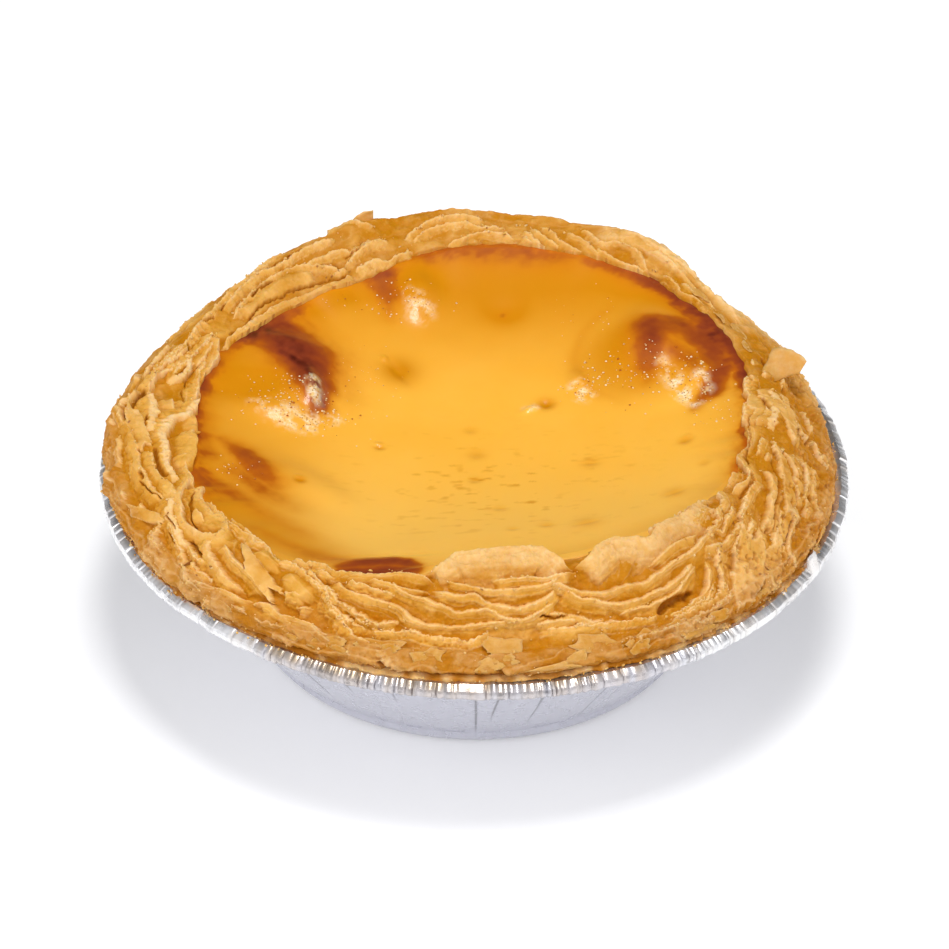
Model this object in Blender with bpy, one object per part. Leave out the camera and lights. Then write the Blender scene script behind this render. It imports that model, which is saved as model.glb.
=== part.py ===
"""Egg tart baked in a small foil cup: a foil cup with a curled lip, a flaky pastry
shell whose leaves stand above the lip, and a set custard that sags in the middle.

Origin: centre of the cup's flat base.  +Z up.  +X is the tart's right, +Y its back.
Azimuths are in degrees, from +X towards +Y.
"""

import math

import bmesh
import bpy

MM = 0.001
GAP = 0.3 * MM                 # clearance between neighbouring solids

# ---- foil cup ---------------------------------------------------------------
LIP_R = 39.5 * MM              # outer radius of the curled lip
LIP_TOP = 19.2 * MM            # height of the lip's upper side
LIP_CURL = 1.7 * MM            # height of the curl, from its upper side down
BASE_R = 23.9 * MM             # radius where the base meets the wall
BASE_FILLET = 1.6 * MM
WALL_TOP_R = 36.7 * MM         # wall's outer radius where it turns out into the lip
WALL_TOP_Z = 17.8 * MM
FOIL = 0.25 * MM               # skin thickness of the solid
FOIL_SEGMENTS = 64
CURL_POINTS = 6

# ---- pastry shell -----------------------------------------------------------
# Twelve stations, every 30 degrees from +X.  Radii and heights in millimetres.
INNER_R = (28.6, 30.4, 31.3, 30.6, 27.6, 28.4, 29.8, 31.0, 31.0, 28.4, 28.4, 28.4)
INNER_Z = (26.4, 26.2, 27.0, 27.2, 26.2, 25.8, 25.4, 25.0, 25.2, 27.2, 27.2, 26.4)
CREST_R = (31.0, 33.2, 35.0, 35.2, 34.4, 34.0, 36.0, 34.0, 32.8, 30.0, 30.2, 30.6)
CREST_Z = (27.0, 25.6, 28.6, 28.9, 28.2, 26.6, 26.0, 25.4, 25.2, 27.4, 27.4, 27.0)
SHOULDER_R = (36.9, 36.2, 37.6, 37.6, 37.6, 37.6, 38.5, 37.8, 36.4, 34.6, 35.2, 36.8)
SHOULDER_Z = (22.6, 23.4, 24.6, 25.2, 24.8, 24.2, 24.6, 22.6, 22.4, 22.4, 22.4, 22.4)
FOOT_R = (38.3, 38.0, 37.8, 37.8, 38.0, 38.3, 38.7, 38.5, 38.2, 37.9, 38.1, 38.4)
FOOT_Z = 20.2                  # widest part just above the lip
SHELL_WALL = 3.6 * MM          # thickness of the pastry wall and floor inside the cup
LEAVES = 5                     # leaf edges across the top of the rim
LEAF_STEP = 0.8 * MM           # height that a leaf's edge stands up
LEAF_SHAPE = ((0.10, -0.35), (0.62, 0.45), (0.82, 0.35))   # (share across, lift)
LEAF_WANDER = 0.045            # how far the leaf edges wander in and out
CREST_SHARE = 0.6              # where the crest lies between shoulder and inner edge
SHELL_SEGMENTS = 84

# ---- custard ----------------------------------------------------------------
SAG = 4.6 * MM                 # depth of the middle below the rim of the custard
SAG_POWER = 2.3
CUSTARD_DROP = 0.5 * MM        # custard's rim below the pastry's inner edge
# blisters and dimples: (x, y, half-width x, half-width y, height), millimetres
BLISTERS = (
    (-19.5, 7.5, 6.0, 5.0, 2.2),
    (-8.0, 20.5, 4.0, 3.8, 1.2),
    (19.5, 11.0, 7.5, 6.5, 2.2),
    (-17.0, -9.5, 5.0, 3.6, 0.7),
    (-10.5, -27.0, 4.5, 1.6, 0.8),
    (2.8, 16.5, 1.4, 1.6, -0.5),
    (6.6, 4.8, 1.7, 1.7, 0.6),
    (-8.4, 9.2, 1.8, 2.6, -0.5),
)
CUSTARD_RINGS = 9
CUSTARD_SEGMENTS = 84


def around(stations, azimuth):
    """Smooth periodic value through evenly spaced stations."""
    n = len(stations)
    t = (azimuth % 360.0) / 360.0 * n
    i = int(t)
    f = t - i
    p0, p1, p2, p3 = (stations[(i + k) % n] for k in (-1, 0, 1, 2))
    return 0.5 * (
        2 * p1
        + (p2 - p0) * f
        + (2 * p0 - 5 * p1 + 4 * p2 - p3) * f * f
        + (3 * p1 - p0 - 3 * p2 + p3) * f * f * f
    )


def ripple(azimuth):
    """Slow waviness of the leaf edges round the rim, between about -1 and 1."""
    a = math.radians(azimuth)
    return (
        0.45 * math.sin(5 * a + 0.7)
        + 0.30 * math.sin(9 * a + 2.1)
        + 0.25 * math.sin(14 * a + 4.0)
    )


def cup_inner_radius(z):
    """Radius of the cup's inner side at height z."""
    z0, z1 = BASE_FILLET, WALL_TOP_Z
    share = (z - z0) / (z1 - z0)
    return BASE_R + (WALL_TOP_R - BASE_R) * share - FOIL


def new_object(name, bm, colour, roughness, metallic=0.0):
    bmesh.ops.recalc_face_normals(bm, faces=bm.faces)
    mesh = bpy.data.meshes.new(name)
    bm.to_mesh(mesh)
    bm.free()
    material = bpy.data.materials.new(name + "_material")
    material.use_nodes = True
    shader = material.node_tree.nodes["Principled BSDF"]
    shader.inputs["Base Color"].default_value = (*colour, 1.0)
    shader.inputs["Roughness"].default_value = roughness
    shader.inputs["Metallic"].default_value = metallic
    mesh.materials.append(material)
    obj = bpy.data.objects.new(name, mesh)
    bpy.context.scene.collection.objects.link(obj)
    mesh.shade_smooth()
    mesh.set_sharp_from_angle(angle=math.radians(40))
    return obj


def skin(bm, loops, closed_profile=False):
    """Faces between successive rings of points, each ring closed round the axis."""
    rings = [[bm.verts.new(p) for p in loop] for loop in loops]
    pairs = list(zip(rings, rings[1:]))
    if closed_profile:
        pairs.append((rings[-1], rings[0]))
    n = len(rings[0])
    for a, b in pairs:
        for i in range(n):
            j = (i + 1) % n
            bm.faces.new((a[i], a[j], b[j], b[i]))
    return rings


def cap(bm, ring, z):
    """Fan that closes a ring at the axis."""
    centre = bm.verts.new((0.0, 0.0, z))
    n = len(ring)
    for i in range(n):
        bm.faces.new((ring[i], ring[(i + 1) % n], centre))


# ---- foil cup ---------------------------------------------------------------
def base_fillet(radius, floor):
    """Points from the flat base up into the wall, (radius, height)."""
    run = 1.2 * MM
    return [
        (
            radius - run + run * math.sin(k / 3 * math.pi / 2),
            floor + BASE_FILLET * (1 - math.cos(k / 3 * math.pi / 2)),
        )
        for k in range(4)
    ]


def cup_profile():
    """Outline of the foil skin in (radius, height), from the base's underside out,
    round the curled lip and back down inside."""
    outline = base_fillet(BASE_R, 0.0)
    outline.append((WALL_TOP_R, WALL_TOP_Z))
    # the flange turns out, then curls down and back in
    outline.append((WALL_TOP_R + 0.75 * MM, LIP_TOP - FOIL - 0.12 * MM))
    curl = LIP_CURL / 2
    cx, cz = LIP_R - curl, LIP_TOP - curl
    turns = [math.radians(90 - 240 * k / (CURL_POINTS - 1)) for k in range(CURL_POINTS)]
    outline += [
        (cx + (curl - FOIL) * math.cos(a), cz + (curl - FOIL) * math.sin(a)) for a in turns
    ]
    outline += [(cx + curl * math.cos(a), cz + curl * math.sin(a)) for a in turns[::-1]]
    outline.append((WALL_TOP_R + 0.62 * MM, LIP_TOP - 0.10 * MM))
    outline.append((WALL_TOP_R - FOIL, WALL_TOP_Z + 0.12 * MM))
    return outline + base_fillet(BASE_R - FOIL, FOIL)[::-1]


def build_cup():
    outline = cup_profile()
    bm = bmesh.new()
    loops = []
    for r, z in outline:
        loops.append(
            [
                (
                    r * math.cos(2 * math.pi * i / FOIL_SEGMENTS),
                    r * math.sin(2 * math.pi * i / FOIL_SEGMENTS),
                    z,
                )
                for i in range(FOIL_SEGMENTS)
            ]
        )
    rings = skin(bm, loops)
    # one flat base face below and one above
    bm.faces.new(rings[0])
    bm.faces.new(rings[-1])
    return new_object("foil_cup", bm, (0.78, 0.78, 0.80), 0.30, 1.0)


# ---- pastry shell -----------------------------------------------------------
def shell_column(azimuth):
    """Outline of the shell at one azimuth, from the axis under it, out, over and in."""
    get = lambda table: around(table, azimuth) * MM
    ri, zi = get(INNER_R), get(INNER_Z)
    rc, zc = get(CREST_R), get(CREST_Z)
    rs, zs = get(SHOULDER_R), get(SHOULDER_Z)
    rf, zf = get(FOOT_R), FOOT_Z * MM
    wave = ripple(azimuth)
    points = []
    floor = FOIL + GAP
    points.append((BASE_R * 0.55, floor))
    points.append((BASE_R - 2.2 * MM, floor))
    for z in (2.2 * MM, 9.0 * MM, WALL_TOP_Z - 0.4 * MM):
        points.append((cup_inner_radius(z) - GAP - 0.25 * MM, z))
    points.append((WALL_TOP_R + 0.1 * MM, LIP_TOP + GAP + 0.05 * MM))
    points.append((rf - 0.5 * MM, LIP_TOP + GAP + 0.1 * MM))
    points.append((rf, zf))
    points.append(((rf + rs) / 2 + 0.35 * MM, (zf + zs) / 2))
    points.append((rs, zs))
    # leaves between the shoulder and the inner edge: each one's outer face rises to a
    # thin edge, and the next starts a step back from it
    for k in range(LEAVES):
        for across, lift in LEAF_SHAPE:
            t = (k + across) / LEAVES + LEAF_WANDER * wave * math.sin(math.pi * k / LEAVES)
            t = min(max(t, 0.03), 0.985)
            if t < CREST_SHARE:
                s = t / CREST_SHARE
                r = rs + (rc - rs) * s
                z = zs + (zc - zs) * math.sin(s * math.pi / 2)
            else:
                s = (t - CREST_SHARE) / (1 - CREST_SHARE)
                r = rc + (ri - rc) * s
                z = zc + (zi - zc) * s
            points.append((r, z + lift * LEAF_STEP * (1 + 0.5 * wave)))
    # down the inside to the pastry's floor
    cavity = SHELL_WALL + floor
    points.append((ri - 0.1 * MM, zi - 0.9 * MM))
    points.append((ri - 0.4 * MM, LIP_TOP))
    points.append((cup_inner_radius(9.0 * MM) - SHELL_WALL, 9.0 * MM))
    points.append((BASE_R - SHELL_WALL - 1.5 * MM, cavity))
    points.append((BASE_R * 0.45, cavity))
    return points


def build_shell():
    columns = [shell_column(360.0 * i / SHELL_SEGMENTS) for i in range(SHELL_SEGMENTS)]
    bm = bmesh.new()
    loops = []
    for k in range(len(columns[0])):
        loop = []
        for i, column in enumerate(columns):
            a = 2 * math.pi * i / SHELL_SEGMENTS
            r, z = column[k]
            loop.append((r * math.cos(a), r * math.sin(a), z))
        loops.append(loop)
    rings = skin(bm, loops)
    cap(bm, rings[0], loops[0][0][2])
    cap(bm, rings[-1], loops[-1][0][2])
    return new_object("pastry_shell", bm, (0.72, 0.40, 0.12), 0.65)


# ---- custard ----------------------------------------------------------------
def custard_height(x, y):
    """Height of the custard's skin at a point inside its rim."""
    azimuth = math.degrees(math.atan2(y, x))
    rim = around(INNER_R, azimuth) * MM - GAP
    rim_z = around(INNER_Z, azimuth) * MM - CUSTARD_DROP
    mean_z = sum(INNER_Z) / len(INNER_Z) * MM - CUSTARD_DROP
    share = min(1.0, math.hypot(x, y) / rim)
    z = mean_z + (rim_z - mean_z) * share**2 - SAG * (1 - share**SAG_POWER)
    fade = max(0.0, 1 - share**8)
    for bx, by, wx, wy, h in BLISTERS:
        d = ((x / MM - bx) / wx) ** 2 + ((y / MM - by) / wy) ** 2
        z += fade * h * MM * math.exp(-d * 1.2)
    return z


def build_custard():
    floor = FOIL + 2 * GAP + SHELL_WALL
    n = CUSTARD_SEGMENTS
    bm = bmesh.new()

    def ring(radius_of, height_of):
        loop = []
        for i in range(n):
            az = 360.0 * i / n
            r = radius_of(az)
            x, y = r * math.cos(math.radians(az)), r * math.sin(math.radians(az))
            loop.append((x, y, height_of(x, y)))
        return loop

    slack = GAP + 0.15 * MM      # a little over the gap, because both sides are faceted
    inner = lambda az: around(INNER_R, az) * MM - slack
    loops = []
    loops.append(ring(lambda az: BASE_R * 0.4, lambda x, y: floor))
    loops.append(ring(lambda az: BASE_R - SHELL_WALL - 1.5 * MM - slack, lambda x, y: floor))
    loops.append(
        ring(
            lambda az: cup_inner_radius(9.0 * MM) - SHELL_WALL - slack,
            lambda x, y: 9.0 * MM,
        )
    )
    loops.append(ring(lambda az: inner(az) - 0.55 * MM, lambda x, y: LIP_TOP))
    for k in range(CUSTARD_RINGS, 0, -1):
        share = (k / CUSTARD_RINGS) ** 0.8
        loops.append(
            ring(lambda az: (inner(az) - 0.15 * MM) * share, lambda x, y: custard_height(x, y))
        )
    rings = skin(bm, loops)
    cap(bm, rings[0], floor)
    cap(bm, rings[-1], custard_height(0.0, 0.0))
    return new_object("custard", bm, (0.93, 0.50, 0.08), 0.28)


def main():
    for obj in list(bpy.data.objects):
        bpy.data.objects.remove(obj, do_unlink=True)
    build_cup()
    build_shell()
    build_custard()


main()
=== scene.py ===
"""Looks of the egg tart: foil cup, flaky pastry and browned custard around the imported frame."""
import math

import bpy
import numpy as np
from mathutils import Matrix, Vector


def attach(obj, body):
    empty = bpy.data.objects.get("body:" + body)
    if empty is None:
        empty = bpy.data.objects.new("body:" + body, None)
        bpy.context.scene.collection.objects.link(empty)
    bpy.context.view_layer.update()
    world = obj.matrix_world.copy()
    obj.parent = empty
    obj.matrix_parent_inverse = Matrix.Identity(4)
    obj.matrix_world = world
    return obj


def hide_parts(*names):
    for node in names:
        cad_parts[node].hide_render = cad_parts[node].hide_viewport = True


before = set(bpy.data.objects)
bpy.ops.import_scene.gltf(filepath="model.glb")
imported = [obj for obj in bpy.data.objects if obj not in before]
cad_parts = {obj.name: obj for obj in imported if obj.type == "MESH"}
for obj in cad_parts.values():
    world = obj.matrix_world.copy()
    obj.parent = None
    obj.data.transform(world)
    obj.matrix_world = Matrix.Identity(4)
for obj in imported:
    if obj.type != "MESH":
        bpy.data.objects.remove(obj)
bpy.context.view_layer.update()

MM = 0.001
TAU = 2 * math.pi


# ============================================================ noise and curves
def smooth(t):
    t = np.clip(t, 0.0, 1.0)
    return t * t * (3 - 2 * t)


def ramp(x, a, b):
    """0 at a, 1 at b, smooth between."""
    return smooth((x - a) / (b - a))


def bell(x, centre, width):
    return np.exp(-(((x - centre) / width) ** 2))


def turn(az, centre):
    """Signed difference of two azimuths in degrees, -180 to 180."""
    return (az - centre + 180.0) % 360.0 - 180.0


def arc(az, centre, half, soft):
    """1 within half degrees of centre, fading to 0 over soft degrees."""
    return 1 - ramp(np.abs(turn(az, centre)), half, half + soft)


def ring_noise(nodes, seed):
    """Smooth periodic noise of azimuth, about -1 to 1, with that many bumps."""
    values = np.random.default_rng(seed).uniform(-1, 1, nodes)

    def f(az):
        t = (np.asarray(az, float) % 360.0) / 360.0 * nodes
        i = np.floor(t).astype(int)
        x = t - i
        p = [values[(i + k) % nodes] for k in (-1, 0, 1, 2)]
        return 0.5 * (2 * p[1] + (p[2] - p[0]) * x + (2 * p[0] - 5 * p[1] + 4 * p[2] - p[3]) * x**2
                      + (3 * p[1] - p[0] - 3 * p[2] + p[3]) * x**3)

    return f


def stations(table, az):
    """Smooth periodic value through evenly spaced stations, from +X towards +Y."""
    table = np.asarray(table, float)
    n = len(table)
    t = (np.asarray(az, float) % 360.0) / 360.0 * n
    i = np.floor(t).astype(int)
    x = t - i
    p = [table[(i + k) % n] for k in (-1, 0, 1, 2)]
    return 0.5 * (2 * p[1] + (p[2] - p[0]) * x + (2 * p[0] - 5 * p[1] + 4 * p[2] - p[3]) * x**2
                  + (3 * p[1] - p[0] - 3 * p[2] + p[3]) * x**3)


def noise3(p, seed=0):
    """Value noise of points (N, 3), -1 to 1."""
    p = np.asarray(p, float)
    cell = np.floor(p).astype(np.int64)
    f = p - cell
    f = f * f * f * (f * (f * 6 - 15) + 10)
    out = np.zeros(len(p))
    for dx in (0, 1):
        wx = f[:, 0] if dx else 1 - f[:, 0]
        for dy in (0, 1):
            wy = f[:, 1] if dy else 1 - f[:, 1]
            for dz in (0, 1):
                wz = f[:, 2] if dz else 1 - f[:, 2]
                h = ((cell[:, 0] + dx) * 374761393 + (cell[:, 1] + dy) * 668265263
                     + (cell[:, 2] + dz) * 1274126177 + seed * 974634777) & 0xFFFFFFFF
                h = ((h ^ (h >> 13)) * 1103515245) & 0xFFFFFFFF
                h = (h ^ (h >> 16)) & 0xFFFFFF
                out += wx * wy * wz * (h / 0x7FFFFF - 1.0)
    return out


def fractal(p, octaves=3, seed=0, gain=0.5):
    total, weight = 0.0, 1.0
    for k in range(octaves):
        total = total + weight * noise3(np.asarray(p) * 2.03**k, seed + 31 * k)
        weight *= gain
    return total


# ============================================================ mesh helpers
def make_piece(name, verts, quads, material, attributes=None, tris=None, sharp=None):
    """One mesh object from numpy arrays: verts (N, 3) in metres, quads (M, 4)."""
    verts = np.asarray(verts, np.float32)
    quads = np.asarray(quads, np.int32).reshape(-1, 4)
    tris = np.zeros((0, 3), np.int32) if tris is None else np.asarray(tris, np.int32).reshape(-1, 3)
    all_tris = np.vstack([quads[:, [0, 1, 2]], quads[:, [0, 2, 3]], tris])
    p, q, t = (verts[all_tris[:, i]].astype(float) for i in range(3))
    if np.einsum("ij,ij->i", p, np.cross(q, t)).sum() < 0:      # faces point out
        quads, tris = quads[:, ::-1], tris[:, ::-1]
    mesh = bpy.data.meshes.new(name)
    mesh.vertices.add(len(verts))
    mesh.vertices.foreach_set("co", verts.ravel())
    mesh.loops.add(quads.size + tris.size)
    mesh.loops.foreach_set("vertex_index", np.concatenate([quads.ravel(), tris.ravel()]))
    mesh.polygons.add(len(quads) + len(tris))
    starts = np.concatenate([np.arange(len(quads)) * 4, quads.size + np.arange(len(tris)) * 3])
    mesh.polygons.foreach_set("loop_start", starts.astype(np.int32))
    mesh.update(calc_edges=True)
    mesh.validate()
    for key, values in (attributes or {}).items():
        layer = mesh.attributes.new(key, "FLOAT", "POINT")
        layer.data.foreach_set("value", np.asarray(values, np.float32))
    mesh.materials.append(material)
    mesh.shade_smooth()
    if sharp:
        mesh.set_sharp_from_angle(angle=math.radians(sharp))
    obj = bpy.data.objects.new(name, mesh)
    bpy.context.scene.collection.objects.link(obj)
    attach(obj, "root")
    return obj


def grid_quads(rows, cols, wrap_rows=False, wrap_cols=True, start=0):
    """Quads of a grid whose vertex index is row * cols + col."""
    r = np.arange(rows if wrap_rows else rows - 1)
    c = np.arange(cols if wrap_cols else cols - 1)
    rr, cc = np.meshgrid(r, c, indexing="ij")
    r2, c2 = (rr + 1) % rows, (cc + 1) % cols
    quads = np.stack([rr * cols + cc, rr * cols + c2, r2 * cols + c2, r2 * cols + cc], -1)
    return quads.reshape(-1, 4) + start


def polar(r, az, z):
    """Points in metres from radius and height in millimetres and azimuth in degrees."""
    a = np.radians(az)
    return np.stack([r * np.cos(a) * MM, r * np.sin(a) * MM, np.broadcast_to(z, np.shape(r)) * MM], -1)


# ============================================================ shape of the tart
LIP_R, LIP_TOP, LIP_CURL = 39.5, 19.2, 1.7
BASE_R, BASE_FILLET = 23.9, 1.6
WALL_TOP_R, WALL_TOP_Z = 36.7, 17.8

INNER_R = (28.6, 30.4, 31.3, 30.6, 27.6, 28.4, 29.8, 31.0, 31.0, 28.4, 28.4, 28.4)
INNER_Z = (26.4, 26.2, 27.0, 27.2, 26.2, 25.8, 25.4, 25.0, 25.2, 27.2, 27.2, 26.4)
CREST_R = (31.0, 33.2, 35.0, 35.2, 34.4, 34.0, 36.0, 34.0, 32.8, 30.0, 30.2, 30.6)
CREST_Z = (27.0, 25.6, 28.6, 28.9, 28.2, 26.6, 26.0, 25.4, 25.2, 27.4, 27.4, 27.0)
SHOULDER_R = (36.9, 36.2, 37.6, 37.6, 37.6, 37.6, 38.5, 37.8, 36.4, 34.6, 35.2, 36.8)
SHOULDER_Z = (22.6, 23.4, 24.6, 25.2, 24.8, 24.2, 24.6, 22.6, 22.4, 22.4, 22.4, 22.4)
FOOT_R = (37.7, 37.8, 37.8, 37.8, 38.0, 38.3, 38.7, 38.5, 38.2, 37.9, 38.1, 38.4)
FOOT_Z = 20.2
# where the outline leaves the stations: azimuth, radius, height
OUTLINE = (
    (0, -0.9, 0.0), (6, -1.4, 0.0), (10, -1.5, 0.0), (15, -1.0, 0.0), (20, 0.2, 0.0), (34, 0.5, 0.0),
    (41, -1.3, 0.0), (47, -1.1, 0.0), (57, 0.0, 0.0), (69, 0.0, -0.4), (76, 0.0, -0.7), (84, 0.0, -0.7),
    (91, 0.0, 0.1), (96, 0.0, 0.3), (108, 0.0, 0.0), (114, 0.0, 0.7), (119, 0.0, 0.0), (128, -0.4, 0.0),
    (139, -1.0, 0.0), (148, -1.4, 0.0), (158, -1.6, 0.0), (167, -1.8, 0.0), (172, -1.6, 0.0),
    (177, -0.9, 0.0), (182, -0.3, 0.0), (189, -0.4, 0.0), (197, 0.0, 0.0), (333, 0.0, 0.0),
    (340, -0.6, 0.0), (350, -0.8, 0.0), (360, -0.9, 0.0),
)

SAG, SAG_POWER, CUSTARD_DROP = 4.6, 2.3, 0.5
# blisters, hollows and pits: x, y, half-width along, half-width across, turn in degrees, height, flatness
BUMPS = (
    (-20.8, 8.6, 5.6, 6.8, 0, 1.5, 2.0),        # left blister
    (-17.5, 6.4, 1.3, 2.9, 10, 0.95, 1.2),      # its burnt ridge
    (-20.0, 2.2, 3.4, 1.2, -8, 0.34, 1.2),
    (-21.5, 14.0, 7.0, 2.2, -12, 0.7, 1.0),
    (-24.0, 6.2, 2.6, 2.4, 0, -0.5, 1.0),
    (-6.6, 23.4, 2.3, 3.4, 0, 1.30, 1.3),       # upper left blister
    (20.6, 14.6, 9.6, 8.8, 0, 0.55, 3.0),       # right blister: wide and flat
    (19.4, 15.6, 3.6, 4.6, 14, 1.75, 1.35),     # and the burnt dome on it
    (23.6, 9.4, 1.5, 2.4, 25, 0.65, 1.2),
    (18.8, 16.8, 1.3, 1.4, 0, -0.22, 1.0),
    (10.9, 10.8, 1.0, 1.6, 10, 0.55, 1.0),
    (-17.5, -9.0, 5.5, 2.2, -38, 0.45, 1.3),    # lower left, along the crust
    (-22.6, -7.2, 3.0, 1.5, -45, 0.35, 1.0),
    (-9.5, -26.6, 5.2, 1.9, 6, 0.95, 1.5),      # front left, against the crust
    (3.0, 22.2, 1.7, 1.5, 0, -0.14, 1.0),       # hollows
    (-8.3, 12.1, 1.8, 0.60, -55, -0.26, 1.0),
    (-9.9, 14.0, 0.5, 0.35, -50, 0.22, 1.0),
    (7.5, 7.5, 0.80, 0.65, 0, -0.36, 1.0),
    (5.9, 6.5, 0.95, 0.42, 30, 0.34, 1.0),
    (-10.0, -1.0, 0.45, 0.35, 0, -0.20, 1.0),   # pits
    (-10.2, -0.4, 0.35, 0.25, 0, 0.14, 1.0),
    (-18.0, -9.1, 0.5, 0.35, 0, -0.20, 1.0),
    (-18.2, -8.5, 0.35, 0.25, 0, 0.14, 1.0),
    (-0.5, 2.8, 0.6, 0.5, 0, -0.10, 1.0),
    (0.2, -1.6, 0.8, 0.7, 0, -0.12, 1.0),
    (12.1, -3.9, 0.8, 0.35, 0, -0.12, 1.0),
    (22.0, -2.1, 0.6, 0.5, 30, -0.20, 1.0),
    (22.2, -1.5, 0.3, 0.25, 0, 0.16, 1.0),
    (23.8, -7.5, 0.5, 0.4, 0, -0.10, 1.0),
    (20.6, -12.6, 0.9, 0.3, 20, -0.16, 1.0),
    (0.1, -6.6, 0.6, 0.4, 0, -0.10, 1.0),
    (2.7, -12.7, 0.6, 0.4, 0, -0.10, 1.0),
    (7.5, -17.3, 0.6, 0.40, 0, -0.14, 1.0),
    (11.6, -17.4, 1.1, 0.42, 20, -0.14, 1.0),
    (4.0, -18.0, 0.5, 0.35, 0, -0.10, 1.0),
)
PITS = BUMPS[14:]


def bump_field(x, y, bumps):
    out = 0.0
    for bx, by, wa, wb, angle, height, flat in bumps:
        c, n = math.cos(math.radians(angle)), math.sin(math.radians(angle))
        u, v = (x - bx) * c + (y - by) * n, -(x - bx) * n + (y - by) * c
        out = out + height * np.exp(-(((u / wa) ** 2 + (v / wb) ** 2) ** flat))
    return out


def custard_surface(x, y):
    """Height in mm of the custard's skin over (x, y) in mm, and the share of the way to its rim."""
    az = np.degrees(np.arctan2(y, x))
    rim = stations(INNER_R, az)
    rim_z = stations(INNER_Z, az) - CUSTARD_DROP
    mean_z = np.mean(INNER_Z) - CUSTARD_DROP
    share = np.hypot(x, y) / rim
    s = np.minimum(share, 1.0)
    z = mean_z + (rim_z - mean_z) * s**2 - SAG * (1 - s**SAG_POWER)
    # the surface pulls up unevenly where it clings to the crust
    drawn = ramp(s, 0.78, 1.0) * (0.16 * ring_noise(46, 301)(az) + 0.09 * ring_noise(110, 302)(az))
    fade = np.clip(1 - s**10, 0, 1)
    z = z + fade * bump_field(x, y, BUMPS) + drawn
    return z, share


def stroke(x, y, points):
    """Strength of a soft brush stroke through points (x, y, half-width, strength)."""
    best = np.zeros_like(x)
    for (x0, y0, w0, s0), (x1, y1, w1, s1) in zip(points, points[1:]):
        dx, dy = x1 - x0, y1 - y0
        t = np.clip(((x - x0) * dx + (y - y0) * dy) / (dx * dx + dy * dy + 1e-9), 0, 1)
        d = np.hypot(x - x0 - t * dx, y - y0 - t * dy)
        w, strength = w0 + (w1 - w0) * t, s0 + (s1 - s0) * t
        best = np.maximum(best, strength * np.exp(-((d / w) ** 2)))
    return best


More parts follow.
